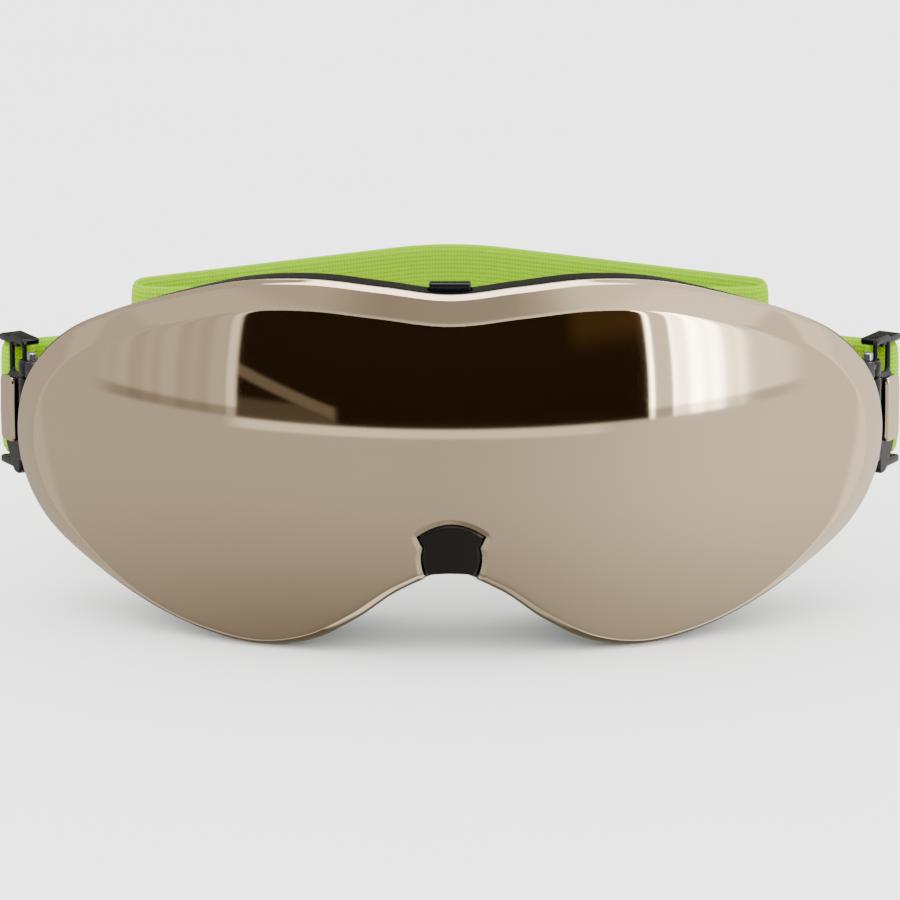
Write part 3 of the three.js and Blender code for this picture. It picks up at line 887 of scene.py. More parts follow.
@dataclass(frozen=True)
class ClearPlastic:
    """Cellulose propionate inner lens: clear, with a light smoke tint and an anti-fog coating."""

    name: str
    tint: str

    def build(self) -> Material:
        """A thin clear sheet that covers a quarter of what lies behind it, with a haze mottled over 9 mm.

        Returns:
            The material.
        """
        material, tree, shader = new_material(self.name)
        shader.inputs["Base Color"].default_value = linear(self.tint)
        shader.inputs["Alpha"].default_value = 0.25
        shader.inputs["IOR"].default_value = 1.47
        haze = math_node(tree, "MULTIPLY_ADD", Texture(9.0).socket(tree), 0.03, 0.04)
        tree.links.new(haze, shader.inputs["Roughness"])
        return material


@dataclass(frozen=True)
class SmokedLens:
    """The inside of a mirrored shell: polished polycarbonate, smoke-tinted all through."""

    name: str
    colour: str
    drift: str

    def build(self) -> Material:
        """A smooth dark dielectric whose tint drifts over 30 mm, as a dyed moulding does.

        Returns:
            The material.
        """
        material, tree, shader = new_material(self.name)
        shade = mixed(tree, Texture(30.0, 0.0).socket(tree), linear(self.colour), linear(self.drift))
        tree.links.new(shade, shader.inputs["Base Color"])
        shader.inputs["Roughness"].default_value = 0.09
        return material


@dataclass(frozen=True)
class Foam:
    """Polyurethane foam, whose cells show on its cut faces."""

    name: str
    colour: str
    cell_mm: float

    def build(self) -> Material:
        """Cells of cell_mm: the walls are lighter and the pores between them are sunk, with painted shade
        making them dark.

        Returns:
            The material.
        """
        material, tree, shader = new_material(self.name)
        cells = Texture(self.cell_mm, kind=Pattern.CELLS).socket(tree)
        skin = Texture(6.0, 3.0).socket(tree)
        pore_depth_and_shade = eased(tree, cells, 0.15, 0.75)
        # The pores take near-black: painted shade in the sunk cells. The same mask also sinks them through
        # the bump.
        shade = mixed(tree, pore_depth_and_shade, linear("060607"), linear(self.colour))
        shade = mixed(tree, math_node(tree, "MULTIPLY", skin, 0.3), shade, linear("2c2e30"))
        tree.links.new(shade, shader.inputs["Base Color"])
        shader.inputs["Roughness"].default_value = 0.95
        shader.inputs["Sheen Weight"].default_value = 0.05
        tree.links.new(bump(tree, pore_depth_and_shade, 0.3, 0.9), shader.inputs["Normal"])
        return material


@dataclass(frozen=True)
class Fleece:
    """Brushed polyester fleece: short matted fibres that catch light at a low angle."""

    name: str
    colour: str
    fibre_mm: float

    def build(self) -> Material:
        """Fibres of fibre_mm over softer tufts eight times as wide, with a faint sheen. The raised fibres are
        painted lighter over darker hollows, as painted shade.

        Returns:
            The material.
        """
        material, tree, shader = new_material(self.name)
        fibres = Texture(self.fibre_mm, 4.0).socket(tree)
        tufts = Texture(self.fibre_mm * 8, 3.0).socket(tree)
        height = math_node(tree, "MULTIPLY_ADD", tufts, 0.7, fibres)
        # Painted shade: the colour follows the bump height, darker in the hollows and lighter on the raised
        # fibres.
        shade = mixed(tree, eased(tree, height, 0.5, 1.2), linear(self.colour), linear("1e2022"))
        tree.links.new(shade, shader.inputs["Base Color"])
        shader.inputs["Roughness"].default_value = 0.9
        shader.inputs["Sheen Weight"].default_value = 0.22
        shader.inputs["Sheen Roughness"].default_value = 0.45
        tree.links.new(bump(tree, height, 0.35, 0.8), shader.inputs["Normal"])
        return material


@dataclass(frozen=True)
class KnitElastic:
    """Knitted polyester and rubber elastic, whose pattern follows the band's own UV in millimetres."""

    name: str
    colour: str
    shadow: str
    rib_mm: float = 0.9
    course_mm: float = 0.7

    def build(self) -> Material:
        """Rows of V-shaped stitches: ribs run along the band and slant courses cross them.

        The height is |sin(pi v / rib)| times a ridge of sin(2 pi (u / course + |v / rib - 1/2|)).

        Returns:
            The material.
        """
        material, tree, shader = new_material(self.name)
        uv = add_node(tree, "ShaderNodeUVMap", uv_map="weave").outputs[0]
        split = add_node(tree, "ShaderNodeSeparateXYZ", {0: uv})
        along, across = split.outputs[0], split.outputs[1]
        rib = math_node(tree, "DIVIDE", across, self.rib_mm)
        wave = math_node(tree, "SINE", math_node(tree, "MULTIPLY", rib, math.pi))
        crest = math_node(tree, "ABSOLUTE", wave)
        slant = math_node(tree, "ABSOLUTE", math_node(tree, "SUBTRACT", math_node(tree, "FRACT", rib), 0.5))
        course = math_node(tree, "ADD", math_node(tree, "DIVIDE", along, self.course_mm), slant)
        ridge = math_node(tree, "SINE", math_node(tree, "MULTIPLY", course, 2 * math.pi))
        height = math_node(tree, "MULTIPLY_ADD", ridge, 0.35, crest)
        yarn = Texture(0.7, 3.0).socket(tree)
        height = math_node(tree, "MULTIPLY_ADD", yarn, 0.6, height)
        slow = Texture(16.0, 2.0).socket(tree)
        shade = mixed(tree, eased(tree, height, 0.1, 1.3), linear(self.shadow), linear(self.colour))
        shade = mixed(tree, math_node(tree, "MULTIPLY", slow, 0.2), shade, linear(self.shadow))
        tree.links.new(shade, shader.inputs["Base Color"])
        shader.inputs["Roughness"].default_value = 0.85
        shader.inputs["Specular IOR Level"].default_value = 0.05
        tree.links.new(bump(tree, height, 0.12, 0.5), shader.inputs["Normal"])
        return material


@dataclass(frozen=True)
class Steel:
    """Drawn stainless steel wire."""

    name: str
    scratch_mm: float = 0.6

    def build(self) -> Material:
        """Bright metal with drawing marks of scratch_mm.

        Returns:
            The material.
        """
        material, tree, shader = new_material(self.name)
        marks = Texture(self.scratch_mm, 5.0).socket(tree)
        shade = mixed(tree, marks, linear("b4b6b8"), linear("8f9296"))
        tree.links.new(shade, shader.inputs["Base Color"])
        shader.inputs["Metallic"].default_value = 1.0
        tree.links.new(math_node(tree, "MULTIPLY_ADD", marks, 0.2, 0.18), shader.inputs["Roughness"])
        return material


@dataclass
class Finishes:
    """Every material of the goggles, built once."""

    mirror: Material
    mirror_edge: Material
    lens_back: Material
    clear: Material
    gloss: Material
    tab: Material
    satin: Material
    gasket: Material
    foam: Material
    filter: Material
    fleece: Material
    lime: Material
    thread: Material
    silicone: Material
    steel: Material

    @classmethod
    def made(cls) -> "Finishes":
        """Builds the materials from their recipes."""
        return cls(
            mirror=MirrorCoat("champagne mirror coating", "d6c1a3").build(),
            # The lens's edge wall is painted pale: a painted highlight along the rim, on a shell that is
            # smoked dark all through.
            mirror_edge=MouldedPlastic("polished polycarbonate", "d8ccb8", 0.16, 0.8, 0.004, 0.6).build(),
            lens_back=SmokedLens("smoked polycarbonate", "2b251f", "3a3129").build(),
            clear=ClearPlastic("clear cellulose propionate", "4a4640").build(),
            gloss=MouldedPlastic("gloss black nylon", "060606", 0.16, 0.5, 0.004, 0.0, 0.35).build(),
            tab=MouldedPlastic("polished black acetal", "0a0704", 0.22, 0.5, 0.002, 0.0, 0.2).build(),
            satin=MouldedPlastic("satin black urethane", "0b0c0c", 0.5, 0.35, 0.03).build(),
            gasket=Foam("closed-cell gasket foam", "17181a", 0.35).build(),
            foam=Foam("open-cell face foam", "202224", 0.7).build(),
            filter=Foam("reticulated filter foam", "292b2d", 1.1).build(),
            fleece=Fleece("brushed fleece", "0d0e0f", 0.16).build(),
            lime=KnitElastic("lime knitted elastic", "80b000", "689200").build(),
            thread=MouldedPlastic("polyester thread", "5c7a05", 0.6, 0.25, 0.05).build(),
            silicone=MouldedPlastic("silicone rubber", "1c1d1f", 0.42, 0.4, 0.01).build(),
            steel=Steel("drawn stainless steel").build(),
        )


# ---- Lens, gasket, carrier, nose tab and latch ----

GAP = 0.3


def carve(piece: Piece, cutters: Sequence[Surface], crease: float = 0.6) -> None:
    """Cuts closed shapes out of a piece for good, and keeps edges sharper than crease radians sharp.

    Args:
        piece: The piece.
        cutters: The closed shapes to cut away.
        crease: The angle in radians above which an edge is sharp.
    """
    scratch = []
    for number, cutter in enumerate(cutters):
        tool = make_object(f"{piece.name}_cutter_{number}", cutter, [])
        scratch.append(tool)
        cut = piece.modifiers.new(tool.name, "BOOLEAN")
        cut.operation, cut.solver, cut.object = "DIFFERENCE", "MANIFOLD", tool
    bpy.context.view_layer.update()
    solved = piece.evaluated_get(bpy.context.evaluated_depsgraph_get())
    result = bpy.data.meshes.new_from_object(solved)
    piece.modifiers.clear()
    old, piece.data = piece.data, result
    bpy.data.meshes.remove(old)
    for tool in scratch:
        mesh = tool.data
        bpy.data.objects.remove(tool)
        bpy.data.meshes.remove(mesh)
    piece.data.set_sharp_from_angle(angle=crease)


def profile_ring(edge: Callable[..., Array], corners: Sequence[Sequence[float]], radius: float) -> Surface:
    """A closed ring whose cross-section is a polygon with rounded corners.

    Args:
        edge: Shell.lens_edge or Shell.face_edge, called with one array for each value of a corner.
        corners: Cross-section corners: inset, depth and, for a lens ring, the rise over the nose.
        radius: How far from a corner its rounding starts, in millimetres.

    Returns:
        The ring.
    """
    profile = dense_loop(rounded_loop(corners, radius, 4), 1.4)
    return torus(edge(*profile.T))


@dataclass(frozen=True)
class NoseTab:
    """The black tab that the lens notch closes round: a low arch, two ears, a neck and a barrel body."""

    centre: float = 0.3
    top: float = -12.8
    bottom: float = -23.8
    ear_half: float = 6.7
    ear_z: float = -15.3
    neck_half: float = 5.5
    neck_z: float = -17.8
    foot_half: float = 4.7
    thickness: float = 2.5
    tilt: float = 0.16

    def outline(self, margin: float) -> Array:
        """The tab's outline, widened by a margin, from the right foot up and over to the left foot.

        Args:
            margin: How far to widen it.

        Returns:
            The closed loop in X and Z.
        """
        ear, neck, foot = (half + margin for half in (self.ear_half, self.neck_half, self.foot_half))
        low, arch = self.bottom - 4 * margin, 2 * self.top - self.ear_z + 2 * margin
        t = np.linspace(0, 1, 13)[:, None]
        barrel = self._bend(t, (foot, low), (neck + 0.9, self.neck_z - 3), (neck, self.neck_z))
        crown = self._bend(t, (ear, self.ear_z), (0, arch), (-ear, self.ear_z))
        base = self._bend(t, (-foot, low), (0, low + 0.8), (foot, low))
        loop = np.vstack([barrel, crown, barrel[::-1] * [-1, 1], base[1:-1]])
        return loop + [self.centre, 0]

    @staticmethod
    def _bend(t: Array, start: tuple, handle: tuple, end: tuple) -> Array:
        """A quadratic curve: (1-t)^2 a + 2t(1-t) b + t^2 c."""
        a, b, c = (np.array(p, float) for p in (start, handle, end))
        return (1 - t) ** 2 * a + 2 * t * (1 - t) * b + t**2 * c

    def _place(self, x: Array, z: Array, depth: Array) -> Array:
        """A point of the tab, which leans back by its tilt about its own middle.

        Args:
            x: Distances across.
            z: Heights.
            depth: Distances behind the tab's front.

        Returns:
            Points, with X, Y and Z in the last axis.
        """
        middle = (self.top + self.bottom) / 2
        seat = float(BARREL.sag(np.array(middle)))
        c, s = math.cos(self.tilt), math.sin(self.tilt)
        high = z - middle
        return np.stack([x, seat + depth * c - high * s, middle + depth * s + high * c], axis=-1)

    def surface(self) -> Surface:
        """The tab: crowned like a barrel across its width, with edges rounded to 0.8 mm.

        Returns:
            The closed tab.
        """

        def front(x: Array, z: Array, d: Array) -> Array:
            """The crowned face, with its rounded edge."""
            crown = 0.55 * ((x - self.centre) / self.ear_half) ** 2
            return self._place(x, z, crown + edge_drop(d, 0.8))

        def back(x: Array, z: Array, d: Array) -> Array:
            """The flat back, with a slight round."""
            return self._place(x, z, self.thickness - edge_drop(d, 0.25) + 0 * x)

        loop = dense_loop(rounded_loop(self.outline(0.0), 0.35, 2), 0.3)[::-1]
        return Plate(loop, front, back, spacing=0.8).surface()


@dataclass
class LensUnit:
    """The double lens: a mirrored outer shell with a bevelled rim, a gasket and a clear inner shell."""

    finishes: Finishes
    tab: NoseTab = field(default_factory=NoseTab)
    bevel: float = 5.4
    bevel_low: float = 1.6
    wall: float = 1.2
    crease: float = 0.3
    chamfer: float = 0.7
    notch_chamfer: float = 0.9
    inner_inset: float = 3.1

    def bevel_width(self, x: Array, z: Array) -> Array:
        """The rim's width: full at the top and sides, narrow along the bottom and over the nose."""
        from_nose = np.where(z < 0, smoothstep(20, 60, np.abs(x)), 1.0)
        return self.bevel_low + (self.bevel - self.bevel_low) * smoothstep(-38, -16, z) * from_nose

    def _crease_rows(self) -> Array:
        """Points along both sides of the crease, where the distance to the edge equals the rim's width.

        Returns:
            Points in X and Z.
        """
        points, inward = LENS_OUTLINE.points, LENS_OUTLINE.inward()
        width = self.bevel_width(points[:, 0], points[:, 1])
        for _ in range(8):
            at = points + inward * width[:, None]
            width = 0.5 * width + 0.5 * self.bevel_width(at[:, 0], at[:, 1])
        steps = (-1.0, -0.55, -0.3, -0.12, 0.0, 0.12, 0.3, 0.55, 1.1)
        return np.vstack([points + inward * (width + k)[:, None] for k in steps])

    def _rim_drop(self, x: Array, z: Array) -> Array:
        """How far the bevel falls: a straight fall to RIM_DEPTH over its width, eased at the crease.

        Args:
            x: Distances across.
            z: Heights.

        Returns:
            Distances back from the barrel.
        """
        width = self.bevel_width(x, z)
        short = width - edge_distance(np.stack([x, z], axis=1), LENS_OUTLINE.points)
        return RIM_DEPTH / width * 0.5 * (short + np.sqrt(short**2 + self.crease**2))

    def _outer(self) -> Surface:
        """The outer shell with its nose notch.

        Returns:
            The closed shell.
        """
        notch = self.tab.outline(GAP)

        def front(x: Array, z: Array, d: Array) -> Array:
            """The mirrored face: bevel, polished rim and a chamfer at the notch."""
            flat = np.stack([x, z], axis=1)
            short = self.chamfer - edge_distance(flat, LENS_OUTLINE.points)
            rim = 1.3 * 0.5 * (short + np.sqrt(short**2 + 0.12**2))
            near = np.clip(self.notch_chamfer - edge_distance(flat, notch), 0, None)
            return BARREL.place(x, z, self._rim_drop(x, z) + rim + near * 0.45)

        def back(x: Array, z: Array, d: Array) -> Array:
            """The inside of the wall."""
            return BARREL.place(x, z, self._rim_drop(x, z) + self.wall)

        rim = LENS_OUTLINE.points[~inside(LENS_OUTLINE.points, notch)]
        cut = notch[inside(notch, LENS_OUTLINE.points)]
        at = int(np.argmax((rim[:-1, 0] > 0.3) & (rim[1:, 0] <= 0.3) & (rim[:-1, 1] < 0))) + 1
        loop = dense_loop(np.vstack([rim[:at], cut, rim[at:]]), 0.7)
        rows = (0.1, 0.35, 0.55, 0.65, 0.75, 0.88, 1.1)
        return Plate(loop, front, back, spacing=2.0, rows=rows, extra=self._crease_rows()).surface()

    def _inner(self) -> Surface:
        """The inner shell, 1.1 mm thick, which clears the nose notch.

        Returns:
            The closed shell.
        """
        loop = LENS_OUTLINE.points + LENS_OUTLINE.inward() * self.inner_inset
        loop[:, 1] += SHELL.notch_rise * LENS_OUTLINE.over_nose()

        def front(x: Array, z: Array, d: Array) -> Array:
            """The side that faces the outer lens."""
            return BARREL.place(x, z, 6.0 + edge_drop(d, 0.3))

        def back(x: Array, z: Array, d: Array) -> Array:
            """The side that faces the eyes."""
            return BARREL.place(x, z, 7.1 - edge_drop(d, 0.3))

        return Plate(loop[::2], front, back, spacing=3.2, rows=(0.1, 0.3, 0.7)).surface()

    def build(self) -> list[Piece]:
        """Builds the lens, the gasket that spaces its two shells and the inner lens.

        Returns:
            The pieces, in order.
        """
        f = self.finishes
        # The walls round the lens edge take the pale edge colour, a painted highlight.
        outer = make_object("lens_mirror", self._outer(), [f.mirror, f.lens_back, f.mirror_edge])
        inner = make_object("lens_inner", self._inner(), [f.clear])
        corners = [(2.9, 2.9, 1), (5.2, 2.2, 1), (5.2, 5.7, 1), (2.9, 5.7, 1)]
        seal = make_object("lens_seal", profile_ring(SHELL.lens_edge, corners, 0.5), [f.gasket])
        return [
            fix_on(outer, "lens", "mirror_lens", "outer_lens"),
            fix_on(inner, "lens", "inner_lens", "inner_lens"),
            fix_on(seal, "lens", "gasket", "lens_gasket"),
        ]


@dataclass(frozen=True)
class Hinge:
    """The outrigger's pin and the axes of the parts that swing on it, for the +X side."""

    x: float = 86.1
    y: float = 54.2
    turn: float = math.pi / 3
    pin_radius: float = 1.0
    knuckle_radius: float = 2.8

    def eye(self, low: float, high: float, chamfer: float) -> Surface:
        """A ring that turns on the pin, with its outer edges chamfered.

        Args:
            low: Height of its lower face.
            high: Height of its upper face.
            chamfer: The chamfer's width.

        Returns:
            The ring, centred on the pin.
        """
        bore, r = self.pin_radius + GAP, self.knuckle_radius
        profile = np.array([
            (bore, low), (r - chamfer, low), (r, low + chamfer),
            (r, high - chamfer), (r - chamfer, high), (bore, high),
        ])
        angle = np.linspace(0, 2 * math.pi, 36, endpoint=False)
        x, y = profile[:, :1] * np.cos(angle), profile[:, :1] * np.sin(angle)
        return torus(np.stack([x, y, profile[:, 1:] + 0 * x], axis=-1))

    def seat(self, surface: Surface) -> Surface:
        """A part drawn with x away from the pin and y towards the head, put in its place."""
        return surface.moved(self.turn, (self.x, self.y, 0))


HINGE = Hinge()


@dataclass
class Carrier:
    """The rigid ring behind the lens, with two pin lugs on each side, the nose tab and the top latch."""

    finishes: Finishes
    tab: NoseTab = field(default_factory=NoseTab)
    latch_half: float = 4.2
    latch_front: float = 10.5
    latch_depth: float = 2.6
    latch_low: float = 32.5
    latch_high: float = 34.7
    upper_lug: tuple = (7.6, 5.4, 8.8)
    lower_lug: tuple = (6.0, -12.8, -9.4)

    def _lug(self, length: float, low: float, high: float) -> Surface:
        """An eye round the pin with an arm that runs back into the ring.

        Args:
            length: Length of the arm.
            low: Height of its lower end.
            high: Height of its upper end.

        Returns:
            The lug, in its place.
        """
        r, bore = HINGE.knuckle_radius, HINGE.pin_radius + GAP
        arm = rounded_block((-r, -length, low), (r, -bore - 0.3, high), 0.5)
        turn = math.atan2(HINGE.x, BARREL.radius - HINGE.y) - math.pi / 2
        return HINGE.eye(low, high, 0.5).joined(arm).moved(turn, (HINGE.x, HINGE.y, 0))

    def _ring(self) -> Piece:
        """The ring, with the latch's pocket cut into its top edge.

        Returns:
            The ring.
        """
        corners = [(0, 3.4, 0), (2.6, 3.4, 1), (2.6, 7.6, 1), (7.5, 7.6, 1), (7.5, 9.5, 1), (0, 9.5, 0)]
        shape = profile_ring(SHELL.lens_edge, corners, 0.7)
        piece = make_object("carrier", shape, [self.finishes.gloss])
        half, back = self.latch_half + GAP, self.latch_front + self.latch_depth + GAP
        floor = self.latch_low - 1.3
        pocket = rounded_block((-half, self.latch_front - GAP, floor), (half, back, 40), 0.25)
        carve(piece, [pocket])
        return piece

    def _latch(self) -> Surface:
        """The press button: a block with a crowned top and three finger ridges.

        Returns:
            The button.
        """
        half, front = self.latch_half, self.latch_front
        back, top = front + self.latch_depth, self.latch_high
        body = rounded_block((-half, front, self.latch_low), (half, back, top), 0.45)
        ridges = [
            rounded_block((x - 0.35, front + 0.5, top - 0.3), (x + 0.35, back - 0.5, top + 0.05), 0.15)
            for x in (-1.6, 0.0, 1.6)
        ]
        return body.joined(*ridges)

    def build(self) -> list[Piece]:
        """Builds the ring with its lugs, the nose tab and the latch.

        Returns:
            The pieces, in order.
        """
        f = self.finishes
        ring = self._ring()
        lug = self._lug(*self.upper_lug).joined(self._lug(*self.lower_lug))
        lugs = make_object("hinge_lugs", lug.joined(lug.mirrored()), [f.gloss])
        lugs.data.set_sharp_from_angle(angle=0.9)
        tab = make_object("nose_tab", self.tab.surface(), [f.tab])
        latch = make_object("latch_button", self._latch(), [f.gloss])
        return [
            fix_on(ring, "frame", "gloss_black", "lens_carrier"),
            fix_on(lugs, "frame", "gloss_black"),
            fix_on(tab, "frame", "gloss_black", "nose_hook"),
            fix_on(latch, "latch", "gloss_black", "top_latch"),
        ]


# ---- Frame, vents and face foam ----


@dataclass(frozen=True)
class Vent:
    """A stadium-shaped opening in the frame, as seen from above."""

    x: float
    y: float
    turn: float
    length: float
    low: float
    high: float
    width: float = 5.5

    def cutter(self) -> Surface:
        """The closed shape that cuts the vent out, from its low to its high end.

        Returns:
            The closed cutter.
        """
        reach, r = (self.length - self.width) / 2, self.width / 2
        angle = np.linspace(-math.pi / 2, math.pi / 2, 14)
        end = np.stack([reach + r * np.cos(angle), r * np.sin(angle)], axis=1)
        loop = dense_loop(np.vstack([end, -end]), 3.0)
        rings = [np.column_stack([loop, np.full(len(loop), z)]) for z in (self.low, self.high)]
        return capped_tube(np.stack(rings)).moved(self.turn, (self.x, self.y, 0))


@dataclass
class Frame:
    """The soft frame that tapers from the lens to the face, with its vents and their filters."""

    finishes: Finishes
    front_depth: float = 10.3
    back_offset: float = -12.4
    wall: float = 2.2
    flange: float = 9.0
    vents: tuple[Vent, ...] = (
        Vent(15, 23, 0.05, 20, 14, 40), Vent(41, 31.5, 0.38, 18, 14, 40), Vent(45, 33.5, 0.36, 18, -50, -24),
    )

    def _middle(self, front: Array, back: Array) -> Array:
        """Half-way between front and back rows, bowed out by (|x|^0.3, 0, 0.03 z).

        Args:
            front: The rows of points at the lens.
            back: The rows of points at the face.

        Returns:
            The bowed rows.
        """
        x, z = front[..., 0], front[..., 2]
        bow = np.stack([np.sign(x) * np.abs(x) ** 0.3, 0 * x, z * 0.03], axis=-1)
        return (front + back) / 2 + bow

    def _skin(self, lens_inset: float, face_inset: float, share: Array) -> Array:
        """Rows from the lens side at share 0, over the bowed middle at 0.5, to the face side at 1.

        Args:
            lens_inset: Distance in from the lens outline.
            face_inset: Distance in from the face outline.
            share: Shares of the way, one for each row.

        Returns:
            Points of shape (shares, steps, 3).
        """
        front = SHELL.lens_edge(np.array([lens_inset]), np.array([self.front_depth]))
        back = SHELL.face_edge(np.array([face_inset]), np.array([self.back_offset]))
        middle = self._middle(front, back)
        s = np.asarray(share)[:, None, None]
        curve = (1 - s) ** 2 * front + 2 * s * (1 - s) * middle + s**2 * back
        straight = np.where(s < 0.5, front + (middle - front) * 2 * s, middle + (back - middle) * (2 * s - 1))
        return 0.5 * curve + 0.5 * straight

    def _shell(self) -> Surface:
        """The wall, with a flange turned in for the foam and a raised bead along each edge.

        Returns:
            The closed wall.
        """
        share = np.linspace(0, 1, 15)
        out = self._skin(3.0, 0.0, share)
        inner = self._skin(3.0 + self.wall, self.wall, np.linspace(0, 0.96, 14))
        lip = SHELL.face_edge(np.array([0.35, 3.0, 6.0, self.flange - 0.4, self.flange]),
                              np.array([0.0, 0.05, 0.05, 0.0, -0.4]) + self.back_offset)
        under = SHELL.face_edge(np.array([self.flange, self.flange - 0.4, 6.0, self.wall + 0.8]),
                                np.array([-1.4, -1.8, -1.8, -1.8]) + self.back_offset)
        return torus(np.concatenate([out, lip, under, inner[::-1]]))

    def _vents(self) -> list[Surface]:
        """Four vents above the eyes and two below, as closed cutters."""
        right = [vent.cutter() for vent in self.vents]
        return right + [cutter.mirrored() for cutter in right]

    def _filter(self, start: float, end: float) -> Surface:
        """A pad of filter foam 1.6 mm thick that follows the inside of the wall.

        Args:
            start: Where it starts, as a share of the outline.
            end: Where it ends, as a share of the outline.

        Returns:
            The closed pad.
        """
        steps = len(LENS_OUTLINE.points)
        keep = np.arange(round(start * steps), round(end * steps) + 1) % steps
        rings = []
        for depth in (0.0, 1.6):
            inset = self.wall + 0.5 + depth
            front = SHELL.lens_edge(np.array([3 + inset]), np.array([self.front_depth]))
            back = SHELL.face_edge(np.array([inset]), np.array([self.back_offset - 2.4]))
            middle = self._middle(front, SHELL.face_edge(np.array([inset]), np.array([self.back_offset])))
            rings.append([(middle * 0.45 + near * 0.55)[0, keep] for near in (front, back)])
        corners = np.stack([rings[0][0], rings[0][1], rings[1][1], rings[1][0]], axis=1)
        after = np.roll(corners, -1, axis=1)
        share = np.array([0.12, 0.5, 0.88])[None, None, :, None]
        around = corners[:, :, None] * (1 - share) + after[:, :, None] * share
        return capped_tube(around.reshape(len(keep), -1, 3))

    def build(self) -> list[Piece]:
        """Builds the frame with its vents cut, and a filter behind each row of vents.

        Returns:
            The pieces, in order.
        """
        f = self.finishes
        shell = make_object("frame_wall", self._shell(), [f.satin])
        carve(shell, self._vents())
        pieces = [fix_on(shell, "frame", "frame_black", "frame_shell")]
        low = self._filter(0.325, 0.39)
        filters = {
            "filter_top": (self._filter(0.87, 1.13), "vent_filter_top"),
            "filter_low_right": (low, "vent_filter_bottom_right"),
            "filter_low_left": (low.mirrored(), "vent_filter_bottom_left"),
        }
        for name, (surface, node) in filters.items():
            pieces.append(fix_on(make_object(name, surface, [f.filter]), "frame", "foam", node))
        return pieces


class Layer(Enum):
    """The three layers of the face pad: front and back offset from the face, outer and inner inset."""

    BASE = (-12.1, -7.1, 0.3, 10.5)
    SOFT = (-6.8, -1.8, 0.0, 11.0)
    FLEECE = (-1.5, 0.0, 0.6, 10.4)


@dataclass
class FacePad:
    """Triple-layer face foam: a firm base, a softer middle and a fleece that meets the skin."""

    finishes: Finishes

    def _layer(self, layer: Layer) -> Surface:
        """One die-cut layer, whose sides bulge and whose edges round over as soft foam does.

        The cross-section is |u|^n + |v|^n = 1, with n = 4.5 for foam and 3 for fleece, and its sides
        waver by 0.1 sin(11 t) mm round the ring.

        Args:
            layer: Which layer to make.

        Returns:
            The ring.
        """
        front, back, outer, inner = layer.value
        angle = np.linspace(0, 2 * math.pi, 44, endpoint=False)
        power = 2 / (3.0 if layer is Layer.FLEECE else 4.5)
        u = np.sign(np.cos(angle)) * np.abs(np.cos(angle)) ** power
        v = np.sign(np.sin(angle)) * np.abs(np.sin(angle)) ** power
        inset = (outer + inner) / 2 + u * (inner - outer) / 2
        offset = (front + back) / 2 + v * (back - front) / 2
        rows = SHELL.face_edge(inset, offset)
        t = np.linspace(0, 2 * math.pi, rows.shape[1], endpoint=False)
        soft = 0.10 * np.sin(11 * t)[None] * np.abs(u)[:, None] * (np.abs(v) < 0.98)[:, None]
        rows[..., 2] += soft * np.sign(rows[..., 2])
        return torus(rows[:, ::2])

    def build(self) -> list[Piece]:
        """Builds the three layers.

        Returns:
            The pieces, in order.
        """
        f = self.finishes
        plan = {
            "pad_base": (Layer.BASE, f.foam, "foam", "foam_base", 0.95),
            "pad_soft": (Layer.SOFT, f.foam, "foam", "foam_soft", 0.8),
            "pad_fleece": (Layer.FLEECE, f.fleece, "fleece", "face_fleece", 0.7),
        }
        pieces = []
        for name, (layer, material, slot, node, fill) in plan.items():
            piece = fix_on(make_object(name, self._layer(layer), [material]), "frame", slot, node)
            pieces.append(piece)
        return pieces


# ---- Outriggers ----

STRAP_BOTTOM, STRAP_TOP, STRAP_THICKNESS = -14.2, 9.6, 2.0
STRAP_RISE = 0.078


class Side(Enum):
    """The two sides as seen from the front: right is +X."""

    RIGHT = "right"
    LEFT = "left"

    def of(self, surface: Surface) -> Surface:
        """A surface drawn for the right side, or its mirror image on the left."""
        return surface if self is Side.RIGHT else surface.mirrored()


